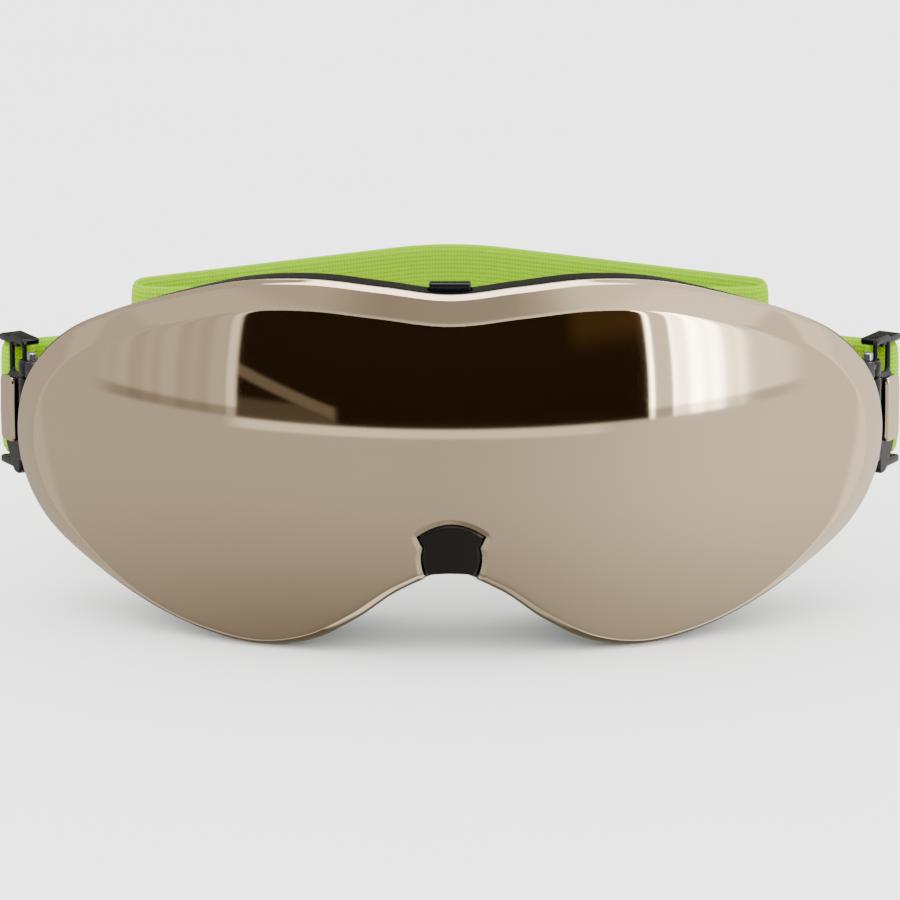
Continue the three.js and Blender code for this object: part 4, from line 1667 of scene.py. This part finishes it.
@dataclass(frozen=True)
class Outrigger:
    """A hinged arm: a plate with a window, a knuckle on the pin, a bar for the strap and a mirror cover."""

    finishes: Finishes
    start: float = 3.2
    end: float = 9.8
    bottom: float = -16.2
    top: float = 12.3
    arm_top: float = 11.4
    half: float = 1.5
    bar_along: float = 13.9
    bar_behind: float = 4.0
    bar_radius: float = 1.4
    knuckle: tuple = (-9.1, 5.1)
    window: tuple = ((3.9, 4.8), (8.7, 10.9))
    cover: tuple = ((3.4, -9.3), (9.0, 4.4))

    def _plate(self) -> Surface:
        """The plate: its lower outer corner is cut away, and it thins to a slim loop that shows the strap.

        Returns:
            The plate, drawn with x away from the pin.
        """
        corners = [
            (self.start, self.bottom), (self.end - 3.6, self.bottom), (self.end, self.bottom + 6),
            (self.end, self.top), (self.start, self.top),
        ]
        loop = dense_loop(rounded_loop(corners, 1.6), 0.5)
        hole = dense_loop(rounded_loop(rectangle(*self.window), 0.8), 0.4)

        def front(x: Array, z: Array, d: Array) -> Array:
            """The outer face, which steps back where the loop is slim."""
            slim = smoothstep(3.0, 4.6, z)
            return np.stack([x, -self.half + 1.1 * slim + edge_drop(d, 0.4), z], axis=-1)

        def back(x: Array, z: Array, d: Array) -> Array:
            """The inner face."""
            slim = smoothstep(3.0, 4.6, z)
            return np.stack([x, self.half - 0.8 * slim - edge_drop(d, 0.4), z], axis=-1)

        rows = (0.05, 0.12, 0.22, 0.36, 0.55)
        return Plate(loop, front, back, spacing=1.1, rows=rows, holes=(hole,)).surface()

    def _arms(self) -> Surface:
        """The knuckle and its web, the two arms behind the plate and the bar between them.

        Returns:
            The parts, drawn with x away from the pin.
        """
        low, high = self.knuckle
        inner = HINGE.pin_radius + GAP + 0.4
        end, back = self.bar_along + self.bar_radius, self.bar_behind + self.bar_radius
        web = rounded_block((inner, -self.half, low), (self.start + 0.9, self.half, high), 0.5)
        upper = rounded_block((self.end - 3, 0, STRAP_TOP + GAP), (end, back, self.arm_top), 0.55)
        lower = rounded_block((self.end - 4.5, 0, self.bottom), (end, back, STRAP_BOTTOM - GAP), 0.6)
        bar_profile = [(self.bar_radius, self.bottom + 0.5), (self.bar_radius, self.arm_top - 0.5)]
        bar = turned(bar_profile, (self.bar_along, self.bar_behind))
        return HINGE.eye(low, high, 0.4).joined(web, upper, lower, bar)

    def _cover(self) -> Surface:
        """The cover plate: a mirror film on a crowned face with edges rounded to 0.5 mm.

        Returns:
            The cover, drawn with x away from the pin.
        """
        front_y, thick = -self.half - GAP, 1.4
        loop = dense_loop(rounded_loop(rectangle(*self.cover), 1.3), 0.4)

        def front(x: Array, z: Array, d: Array) -> Array:
            """The crowned face that carries the mirror film."""
            crown = 0.22 * ((x - 6.2) / 2.8) ** 2 + 0.12 * ((z + 2.4) / 6.8) ** 2
            return np.stack([x, front_y - thick + crown + edge_drop(d, 0.5), z], axis=-1)

        def back(x: Array, z: Array, d: Array) -> Array:
            """The flat back."""
            return np.stack([x, front_y - edge_drop(d, 0.15), z], axis=-1)

        return Plate(loop, front, back, spacing=0.9, rows=(0.05, 0.14, 0.28, 0.5)).surface()

    @staticmethod
    def _pin() -> Surface:
        """The pin, with a domed head at each end.

        Returns:
            The pin, in its place.
        """
        r, low, high = HINGE.pin_radius, -14.4, 10.4
        dome = np.linspace(0.05, math.pi / 2, 6)
        foot = [(r * math.sin(a), low + 0.4 * (1 - math.cos(a))) for a in dome]
        head = [(r * math.sin(a), high - 0.4 * (1 - math.cos(a))) for a in dome[::-1]]
        return turned(foot + head, (HINGE.x, HINGE.y), 24)

    def build(self, side: Side) -> list[Piece]:
        """Builds one side's plate, arms, cover and pin.

        Args:
            side: The side to build.

        Returns:
            The pieces, in order.
        """
        f = self.finishes
        drawn = (self._plate(), self._arms(), self._cover())
        shown = [side.of(HINGE.seat(surface)) for surface in drawn]
        end = side.value
        plate = make_object(f"outrigger_plate_{end}", shown[0], [f.gloss])
        arms = make_object(f"outrigger_arms_{end}", shown[1], [f.gloss])
        arms.data.set_sharp_from_angle(angle=0.9)
        cover = make_object(f"cover_{end}", shown[2], [f.mirror, f.gloss])
        pin = make_object(f"pin_{end}", side.of(self._pin()), [f.steel])
        body = f"outrigger_arm_{end}"
        return [
            fix_on(plate, body, "gloss_black", f"outrigger_{end}"),
            fix_on(arms, body, "gloss_black"),
            fix_on(cover, body, "cover_mirror", f"outrigger_cover_{end}"),
            fix_on(pin, "frame", "pin_steel", f"hinge_pin_{end}"),
        ]


# ---- Strap ----

RUN = np.array([-0.924, 0.382])
RUN_START = np.array([74.4, 74.3])
SEAM_ALONG = 21.0


def arc_path(corners: Sequence[Sequence[float]], radii: Sequence[float], spacing: float) -> Array:
    """A polyline in plan with arcs at its corners, sampled evenly.

    Args:
        corners: The polyline's corners.
        radii: The arc radius at each corner; the ends are ignored.
        spacing: Distance between samples.

    Returns:
        The path's points.
    """
    corners = [np.array(c, float) for c in corners]
    path = [corners[0]]
    for i in range(1, len(corners) - 1):
        into, out = corners[i] - corners[i - 1], corners[i + 1] - corners[i]
        into, out = into / np.linalg.norm(into), out / np.linalg.norm(out)
        turn = math.atan2(into[0] * out[1] - into[1] * out[0], float(into @ out))
        start = corners[i] - into * radii[i] * math.tan(abs(turn) / 2)
        centre = start + np.array([-into[1], into[0]]) * math.copysign(radii[i], turn)
        for angle in np.linspace(0, turn, max(3, int(abs(turn) / 0.08))):
            c, s = math.cos(angle), math.sin(angle)
            path.append(centre + np.array([[c, -s], [s, c]]) @ (start - centre))
    path.append(corners[-1])
    line = np.array(path)
    length = np.concatenate([[0], np.cumsum(np.linalg.norm(np.diff(line, axis=0), axis=1))])
    even = np.linspace(0, length[-1], int(length[-1] / spacing) + 1)
    return np.stack([np.interp(even, length, line[:, k]) for k in range(2)], axis=1)


def webbing(path: Array, low: float, high: float, thickness: float, rise: float, start_mm: float) -> Surface:
    """A flat woven band along a path in plan.

    Its cross-section has a soft rolled edge: the thickness falls as (1 - |v|^7)^(1/2) towards each
    edge, and UV is the distance along and round the band in millimetres.

    Args:
        path: Centre line in plan.
        low: Height of the band's lower edge.
        high: Height of its upper edge.
        thickness: Its full thickness.
        rise: How fast it climbs, for each millimetre behind y = 60.
        start_mm: Distance along the strap at which the pattern starts.

    Returns:
        The closed band.
    """
    along = np.gradient(path, axis=0)
    along /= np.linalg.norm(along, axis=1, keepdims=True)
    side = np.stack([-along[:, 1], along[:, 0]], axis=1)
    lift = np.linspace(-1, 1, 23)
    half = thickness / 2
    bulge = half * (0.12 + 0.88 * np.sqrt(1 - np.abs(lift) ** 7))
    height = (low + high) / 2 + lift * (high - low) / 2
    offset = np.concatenate([bulge, -bulge[::-1]])
    z = np.concatenate([height, height[::-1]])
    plan = path[:, None] + side[:, None] * offset[None, :, None]
    lifted = z[None] + rise * (path[:, 1:] - 60)
    rings = np.concatenate([plan, lifted[..., None]], axis=-1)
    surface = capped_tube(rings)
    step = np.linalg.norm(np.diff(path, axis=0), axis=1)
    u = start_mm + np.concatenate([[0], np.cumsum(step)])
    uv = np.stack(np.broadcast_arrays(u[:, None], z[None]), axis=-1).reshape(-1, 2)
    uv = np.vstack([uv, [[u[0], 0], [u[-1], 0]]])
    surface.corner_uv = np.vstack([uv[face.reshape(-1)] for face in surface.faces])
    return surface


@dataclass
class Strap:
    """The elastic strap: a folded band behind the goggles, sewn ends on the outriggers and silicone grips."""

    finishes: Finishes
    half_plan: tuple = ((25.5, 94.5), (26.4, 102.3), (66.5, 103.6), (67.2, 109.4))
    apex: float = 136.9
    fold_radius: float = 3.6
    back_radius: float = 30.0
    tail_length: float = 14.0
    tacks: tuple = (6.2, 11.6)
    stitch_pitch: float = 0.62
    grip_span: tuple = (0.14, 0.70)
    grip_rows: tuple = (-8.8, -4.4, 0.0)
    bend: tuple = (5.5, -9.0)

    def _band(self) -> Surface:
        """The band between the two adjusters, folded on itself behind the frame.

        Returns:
            The closed band.
        """
        first = RUN_START + RUN * SEAM_ALONG
        right = [tuple(first), *self.half_plan]
        corners = [*right, (0.0, self.apex), *[(-x, y) for x, y in reversed(right)]]
        radii = [self.back_radius if x == 0 else self.fold_radius for x, _ in corners]
        path = arc_path(corners, radii, 1.5)
        return webbing(path, STRAP_BOTTOM, STRAP_TOP, STRAP_THICKNESS, STRAP_RISE, SEAM_ALONG)

    def _bar(self) -> Array:
        """The middle of the outrigger's bar in plan."""
        c, s = math.cos(HINGE.turn), math.sin(HINGE.turn)
        along, behind = Outrigger.bar_along, Outrigger.bar_behind
        return np.array([HINGE.x + along * c - behind * s, HINGE.y + along * s + behind * c])

    def _end(self) -> Surface:
        """The strap's end: once round the bar, back along itself, and on into the adjuster.

        Returns:
            The closed band.
        """
        bar = self._bar()
        radius = Outrigger.bar_radius + GAP + STRAP_THICKNESS / 2
        base = math.atan2(RUN[1], RUN[0])
        leave = math.asin(min(1.0, (STRAP_THICKNESS / 2 + 0.03) / radius))
        angle = base + np.linspace(leave, 2 * math.pi - leave, 40)
        loop = bar + radius * np.stack([np.cos(angle), np.sin(angle)], axis=1)
        out = np.array([-RUN[1], RUN[0]])
        doubled = bar + out * (STRAP_THICKNESS / 2 + 0.03)
        tail = [doubled + RUN * s for s in np.linspace(self.tail_length, 3.2, 9)]
        level = RUN_START + RUN * 0.3
        gap = float((level - bar) @ out)
        reach = float((level - bar) @ RUN)
        back = []
        for s in np.linspace(3.2, reach + SEAM_ALONG, 34):
            side = -(STRAP_THICKNESS / 2 + 0.03)
            ease = float(smoothstep(12.5, reach + 3.5, np.array(s)))
            back.append(bar + RUN * s + out * (side + (gap - side) * ease))
        path = np.vstack([tail, loop, back])
        low, high = STRAP_BOTTOM + 0.3, STRAP_TOP - 0.1
        surface = webbing(path, low, high, STRAP_THICKNESS, 0.0, -40.0)
        climb = smoothstep(8.0, reach + 6, (surface.points[:, :2] - bar) @ RUN)
        surface.points[:, 2] += climb * STRAP_RISE * (surface.points[:, 1] - 60)
        return surface

    def _stitches(self) -> Surface:
        """Two bar tacks across the sewn tail: slanted stitches 1.9 mm long and 0.22 mm thick.

        Returns:
            Every stitch as its own closed tube.
        """
        bar = self._bar()
        out = np.array([-RUN[1], RUN[0]])
        made: list[Surface] = []
        t = np.linspace(-1, 1, 6)
        arch = STRAP_THICKNESS + 0.02 + 0.22 * (1 - t**2)
        angle = np.linspace(0, 2 * math.pi, 5, endpoint=False)
        round_out = np.cos(angle)[:, None] * [out[0], out[1], 0]
        ring = 0.16 * (round_out + np.sin(angle)[:, None] * [0, 0, 1])
        for at in self.tacks:
            for number, z in enumerate(np.arange(STRAP_BOTTOM + 2, STRAP_TOP - 1.4, self.stitch_pitch)):
                slant = 0.35 if number % 2 else -0.35
                for side in (1, -1):
                    plan = bar + RUN * (at + t[:, None] * 0.95) + out * (side * arch)[:, None]
                    centre = np.column_stack([plan, z + slant * t])
                    made.append(capped_tube(centre[:, None] + ring[None]))
        return made[0].joined(*made[1:])

    def _grip(self) -> Surface:
        """Three wavy beads of silicone printed on the head side: z = z0 + 1.2 sin(2 pi s / 17 mm).

        Returns:
            Every bead as its own closed tube.
        """
        start, end = np.array(self.half_plan[-1]), np.array([0.0, self.apex])
        run = end - start
        length = float(np.linalg.norm(run))
        side = np.array([-run[1], run[0]]) / length
        first, last = self.grip_span
        s = np.linspace(first, last, 96)
        angle = np.linspace(0, 2 * math.pi, 12, endpoint=False)
        flat = np.cos(angle)[:, None] * [0.38 * side[0], 0.38 * side[1], 0]
        ring = flat + np.sin(angle)[:, None] * [0, 0, 1.0]
        fade = np.sqrt(np.clip(np.minimum(s - first, last - s) / 0.012, 0.06, 1))
        beads: list[Surface] = []
        for z0 in self.grip_rows:
            plan = start + run * s[:, None] + side * (STRAP_THICKNESS / 2 + 0.42)
            z = z0 + 1.2 * np.sin(2 * math.pi * s * length / 17) + STRAP_RISE * (plan[:, 1] - 60)
            centre = np.column_stack([plan, z])
            beads.append(capped_tube(centre[:, None] + ring[None] * fade[:, None, None]))
        return beads[0].joined(*beads[1:])

    def build(self) -> list[Piece]:
        """Builds the band, both ends with their stitches, and both grips.

        Returns:
            The pieces, in order.
        """
        f = self.finishes
        band = make_object("strap_webbing", self._band(), [f.lime])
        pieces = [fix_on(band, "frame", "strap", "strap_band")]
        for side in Side:
            at = side.value
            arm = f"outrigger_arm_{at}"
            end = make_object(f"strap_tail_{at}", side.of(self._end()), [f.lime])
            tack = make_object(f"strap_tack_{at}", side.of(self._stitches()), [f.thread])
            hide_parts(f"strap_end_{at}")
            sign = 1 if side is Side.RIGHT else -1
            points = [RUN_START + RUN * along for along in self.bend]
            places = [to_row(np.array([sign * p[0], p[1], 0.0])).tolist() for p in points]
            for soft in (end, tack):
                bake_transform(soft)
                LOG.info("%s: bends between frame and %s", soft.name, arm)
            grip = make_object(f"grip_beads_{at}", side.of(self._grip()), [f.silicone])
            pieces += [end, tack, fix_on(grip, "frame", "silicone", f"strap_grip_{at}")]
        return pieces


@dataclass
class Adjuster:
    """A ladder-bar slider: a flat loop whose front and back windows show the strap past a gripping bar."""

    finishes: Finishes
    along: float = 21.0
    length: float = 14.0
    height: float = 32.0
    depth: float = 5.6
    window_starts: tuple = (-4.9, 1.5)
    window_width: float = 3.4
    window_half: float = 12.2

    def _face(self, sign: float) -> Surface:
        """One face of the loop, with two windows and a bar between them.

        Args:
            sign: -1 for the front face, 1 for the back.

        Returns:
            The face, drawn with x along the strap.
        """
        half, tall = self.length / 2, self.height / 2
        middle = (STRAP_BOTTOM + STRAP_TOP) / 2
        loop = dense_loop(rounded_loop(rectangle((-half, -tall), (half, tall)), 2.4), 0.9) + [0, middle]
        holes = []
        for start in self.window_starts:
            corners = rectangle((start, -self.window_half), (start + self.window_width, self.window_half))
            holes.append(dense_loop(rounded_loop(corners, 1.0), 0.8) + [0, middle])
        outer, inner = sign * self.depth / 2, sign * (STRAP_THICKNESS / 2 + 0.5)

        def far(x: Array, z: Array, d: Array) -> Array:
            """The side away from the strap."""
            return np.stack([x, outer - sign * edge_drop(d, 0.55), z], axis=-1)

        def near(x: Array, z: Array, d: Array) -> Array:
            """The side next to the strap."""
            return np.stack([x, inner + sign * edge_drop(d, 0.15), z], axis=-1)

        return Plate(loop, far, near, spacing=1.8, rows=(0.06, 0.2, 0.42), holes=tuple(holes)).surface()

    def build(self, side: Side) -> list[Piece]:
        """Builds one side's slider as two windowed faces and the two blocks that join them.

        Args:
            side: The side to build.

        Returns:
            The pieces, in order.
        """
        turn = math.atan2(RUN[1], RUN[0])
        centre = RUN_START + RUN * self.along
        half, tall = self.length / 2, self.height / 2
        middle = (STRAP_BOTTOM + STRAP_TOP) / 2
        deep = self.depth / 2
        ends = [
            rounded_block((-half + 0.1, -deep + 0.1, low), (half - 0.1, deep - 0.1, high), 0.9)
            for low, high in ((middle - tall, STRAP_BOTTOM - 0.8), (STRAP_TOP + 0.8, middle + tall))
        ]
        shapes = {"front": self._face(-1.0), "back": self._face(1.0), "rails": ends[0].joined(ends[1])}
        pieces = []
        for name, shape in shapes.items():
            placed = shape.moved(turn, (*centre, 0))
            placed.points[:, 2] += STRAP_RISE * (placed.points[:, 1] - 60)
            piece = make_object(f"slider_{name}_{side.value}", side.of(placed), [self.finishes.satin])
            nodes = [f"slider_{side.value}"] if name == "front" else []
            pieces.append(fix_on(piece, f"adjuster_{side.value}", "frame_black", *nodes))
        return pieces


# ---- Studio ----


class Zone(Enum):
    """What a mirror sees in each part of the studio, as linear brightness."""

    ROOM = (0.022, 0.012, 0.004, 1)
    SHELF = (0.07, 0.04, 0.012, 1)
    TABLE = (0.12, 0.10, 0.075, 1)
    TABLE_EDGE = (0.22, 0.19, 0.15, 1)
    LEFT = (0.86, 0.83, 0.80, 1)
    LEFT_DIM = (0.70, 0.67, 0.64, 1)
    RIGHT = (18.0, 18.0, 17.5, 1)
    RIGHT_DIM = (7.5, 7.5, 7.3, 1)
    RIGHT_FAR = (2.0, 1.98, 1.92, 1)
    POST = (1.5, 1.45, 1.38, 1)
    FLOOR_LEFT = (0.76, 0.74, 0.72, 1)
    FLOOR_RIGHT = (1.28, 1.26, 1.22, 1)
    LINE = (1.4, 1.38, 1.32, 1)
    DEEP_LEFT = (0.31, 0.29, 0.26, 1)
    DEEP_RIGHT = (0.54, 0.53, 0.50, 1)
    ROOF_LEFT = (0.74, 0.70, 0.67, 1)
    ROOF_RIGHT = (1.5, 1.47, 1.42, 1)
    BAND_LEFT = (0.92, 0.88, 0.84, 1)
    BAND_RIGHT = (1.8, 1.75, 1.7, 1)
    OVERHEAD = (6.0, 6.0, 6.0, 1)
    BEHIND = (0.16, 0.15, 0.12, 1)


@dataclass
class Studio:
    """A plain pale sweep, soft lights, and the surroundings that only glossy surfaces see."""

    elevation: float = math.radians(14)
    distance: float = 1.5
    lens: float = 301.2

    def _camera(self) -> None:
        """The camera: slightly above the goggles and square to them."""
        up = Vector((0, math.sin(self.elevation), math.cos(self.elevation)))
        aim = Vector(to_row([0, 0, 0]).tolist()) + up * 2.99 * MM
        back = Vector((0, -math.cos(self.elevation), math.sin(self.elevation)))
        data = bpy.data.cameras.new("camera")
        data.lens, data.sensor_width = self.lens, 36.0
        camera = bpy.data.objects.new("camera", data)
        camera.location = aim + back * self.distance
        camera.rotation_euler = (math.pi / 2 - self.elevation, 0, 0)
        bpy.context.scene.collection.objects.link(camera)
        bpy.context.scene.camera = camera

    @staticmethod
    def _between(tree: NodeTree, value: object, low: float, high: float, soft: float) -> Socket:
        """A soft-edged band: 1 between low and high degrees, easing to 0 over soft degrees."""
        rise, fall = Studio._ramp(tree, value, low - soft, low), Studio._ramp(tree, value, high + soft, high)
        return math_node(tree, "MULTIPLY", rise, fall)

    @staticmethod
    def _ramp(tree: NodeTree, value: object, low: float, high: float) -> Socket:
        """A smooth step from 0 at low degrees to 1 at high degrees."""
        return eased(tree, value, math.radians(low), math.radians(high))

    def _dark_set(self, tree: NodeTree, turn: object, lift: object) -> Socket:
        """The dark room that faces the goggles: a brown corner, a low table and its slanted edge.

        Args:
            tree: The node tree.
            turn: Angle to the right of the camera, as a socket.
            lift: Angle above the horizon, as a socket.

        Returns:
            The colour, as a socket.
        """
        room = mixed(tree, self._between(tree, turn, 29, 44, 5), Zone.ROOM.value, Zone.SHELF.value)
        room = mixed(tree, self._between(tree, lift, -7, 6, 6), room, Zone.ROOM.value)
        wide, low = self._between(tree, turn, -46, -25, 2), self._between(tree, lift, -8, -4, 1.5)
        room = mixed(tree, math_node(tree, "MULTIPLY", wide, low), room, Zone.TABLE.value)
        slope = math_node(tree, "MULTIPLY_ADD", turn, 0.30, lift)
        wide, thin = self._between(tree, turn, -46, -25, 1), self._between(tree, slope, -12.6, -11.2, 0.8)
        return mixed(tree, math_node(tree, "MULTIPLY", wide, thin), room, Zone.TABLE_EDGE.value)

    def _sides(self, tree: NodeTree, turn: object, lift: object) -> Socket:
        """A grey softbox on the left and a bright one on the right, both with upright slats.

        Args:
            tree: The node tree.
            turn: Angle to the right of the camera, as a socket.
            lift: Angle above the horizon, as a socket.

        Returns:
            The colour, as a socket.
        """
        wave = math_node(tree, "SINE", math_node(tree, "MULTIPLY", turn, 62.0))
        slow = math_node(tree, "SINE", math_node(tree, "MULTIPLY", turn, 27.0))
        slats = eased(tree, math_node(tree, "ADD", wave, slow), -1.6, 1.8)
        left = mixed(tree, slats, Zone.LEFT_DIM.value, Zone.LEFT.value)
        right = mixed(tree, slats, Zone.RIGHT_DIM.value, Zone.RIGHT.value)
        right = mixed(tree, self._ramp(tree, turn, 54, 70), right, Zone.RIGHT_FAR.value)
        side = mixed(tree, eased(tree, turn, -0.1, 0.1), left, right)
        post = math_node(tree, "ABSOLUTE", turn)
        side = mixed(tree, self._between(tree, post, 44.5, 48, 1), side, Zone.POST.value)
        skirting = math_node(tree, "MULTIPLY", self._between(tree, lift, -7.4, -5.6, 0.8), 0.55)
        return mixed(tree, skirting, side, Zone.TABLE.value)

    def _surroundings(self, tree: NodeTree) -> Socket:
        """What a mirror sees, by direction.

        Below the horizon is a pale floor, brighter to the right and darker far below. Above it, a dark
        set stands between two softboxes. Beyond them a bright band and a pale surround light the rim.

        Args:
            tree: The world's node tree.

        Returns:
            The colour, as a socket.
        """
        place = add_node(tree, "ShaderNodeTexCoord").outputs["Generated"]
        x, y, z = add_node(tree, "ShaderNodeSeparateXYZ", {0: place}).outputs[:3]
        turn = math_node(tree, "ARCTAN2", x, math_node(tree, "MULTIPLY", y, -1))
        lift = math_node(tree, "ARCSINE", z)
        aside = math_node(tree, "ABSOLUTE", turn)
        floor = mixed(tree, self._ramp(tree, turn, -5, 75), Zone.FLOOR_LEFT.value, Zone.FLOOR_RIGHT.value)
        deep = mixed(tree, self._ramp(tree, turn, -40, 60), Zone.DEEP_LEFT.value, Zone.DEEP_RIGHT.value)
        floor = mixed(tree, self._ramp(tree, lift, -16, -58), floor, deep)
        band = mixed(tree, self._ramp(tree, turn, -20, 60), Zone.BAND_LEFT.value, Zone.BAND_RIGHT.value)
        floor = mixed(tree, self._ramp(tree, lift, -70, -78), floor, band)
        rise, fall = self._ramp(tree, turn, -47, -45.6), self._ramp(tree, turn, 44, 42.6)
        middle = math_node(tree, "MULTIPLY", rise, fall)
        ahead = mixed(tree, middle, self._sides(tree, turn, lift), self._dark_set(tree, turn, lift))
        ahead = mixed(tree, self._ramp(tree, lift, -7.4, -6.6), floor, ahead)
        wide, thin = self._between(tree, turn, -44, 30, 6), self._between(tree, lift, -8.6, -7.4, 0.5)
        ahead = mixed(tree, math_node(tree, "MULTIPLY", wide, thin), ahead, Zone.LINE.value)
        surround = mixed(tree, self._ramp(tree, turn, -30, 70), Zone.ROOF_LEFT.value, Zone.ROOF_RIGHT.value)
        centre = math_node(tree, "MULTIPLY", self._between(tree, turn, -12, 12, 26), 0.7)
        surround = mixed(tree, centre, surround, Zone.DEEP_LEFT.value)
        ahead = mixed(tree, self._ramp(tree, aside, 74, 84), ahead, floor)
        near = math_node(tree, "MAXIMUM", self._ramp(tree, lift, 25, 28), self._ramp(tree, aside, 98, 101))
        far = math_node(tree, "MAXIMUM", self._ramp(tree, lift, 40, 48), self._ramp(tree, aside, 107, 112))
        ring = mixed(tree, near, ahead, band)
        ring = mixed(tree, far, ring, surround)
        ring = mixed(tree, self._ramp(tree, aside, 148, 165), ring, Zone.BEHIND.value)
        return mixed(tree, self._ramp(tree, lift, 61, 64), ring, Zone.OVERHEAD.value)

    def _world(self) -> None:
        """A plain pale world, which glossy rays see as the studio around the camera."""
        world = bpy.data.worlds.new("studio")
        bpy.context.scene.world = world
        world.use_nodes = True
        tree = world.node_tree
        tree.nodes.clear()
        glossy = add_node(tree, "ShaderNodeLightPath").outputs["Is Glossy Ray"]
        plain = add_node(tree, "ShaderNodeBackground", {"Color": (1, 1, 1, 1), "Strength": 3.2})
        seen = add_node(tree, "ShaderNodeBackground", {"Color": self._surroundings(tree), "Strength": 1.0})
        both = add_node(tree, "ShaderNodeMixShader", {0: glossy, 1: plain.outputs[0], 2: seen.outputs[0]})
        add_node(tree, "ShaderNodeOutputWorld", {"Surface": both.outputs[0]})

    @staticmethod
    def _light(name: str, place: tuple, size: float, watts: float) -> None:
        """A square softbox aimed at the goggles, which mirrors don't see.

        Args:
            name: The light's name.
            place: Where it stands, in metres.
            size: Its width in metres.
            watts: Its power.
        """
        data = bpy.data.lights.new(name, "AREA")
        data.size, data.energy = size, watts
        light = bpy.data.objects.new(name, data)
        light.location = place
        light.rotation_euler = (Vector((0, 0, 0.04)) - Vector(place)).to_track_quat("-Z", "Y").to_euler()
        light.visible_glossy = False
        bpy.context.scene.collection.objects.link(light)

    def _floor(self) -> None:
        """A pale sweep under the goggles, which mirrors don't see."""
        material, tree, shader = new_material("pale sweep")
        grain = Texture(60.0, 1.0).socket(tree)
        shade = mixed(tree, grain, linear("ffffff"), linear("fdfdfc"))
        tree.links.new(shade, shader.inputs["Base Color"])
        shader.inputs["Roughness"].default_value = 1.0
        shader.inputs["Specular IOR Level"].default_value = 0.0
        mesh = bpy.data.meshes.new("sweep")
        r = 6.0
        mesh.from_pydata([(-r, -r, 0), (r, -r, 0), (r, r, 0), (-r, r, 0)], [], [(0, 1, 2, 3)])
        mesh.materials.append(material)
        sweep = bpy.data.objects.new("sweep", mesh)
        sweep.visible_glossy = False
        bpy.context.scene.collection.objects.link(sweep)

    def build(self) -> None:
        """Builds the camera, the world, the lights and the sweep."""
        self._camera()
        self._world()
        self._light("key", (-0.5, -0.7, 0.9), 0.7, 4.0)
        self._light("fill", (0.7, -0.6, 0.6), 0.8, 3.0)
        self._light("back", (0.1, 0.8, 0.9), 0.8, 3.0)
        self._floor()


@dataclass
class Goggles:
    """The whole model: every sub-assembly, built in order."""

    finishes: Finishes

    def build(self) -> list[Piece]:
        """Builds every piece.

        Returns:
            The pieces, in order.
        """
        f = self.finishes
        pieces = LensUnit(f).build() + Carrier(f).build() + Frame(f).build() + FacePad(f).build()
        for side in Side:
            pieces += Outrigger(f).build(side) + Adjuster(f).build(side)
        return pieces + Strap(f).build()


def main() -> None:
    """Builds the goggles and the studio."""
    logging.basicConfig(level=logging.INFO, format="%(name)s: %(message)s")
    pieces = Goggles(Finishes.made()).build()
    LOG.info("%d pieces", len(pieces))
    Studio().build()


if __name__ == "__main__":
    main()
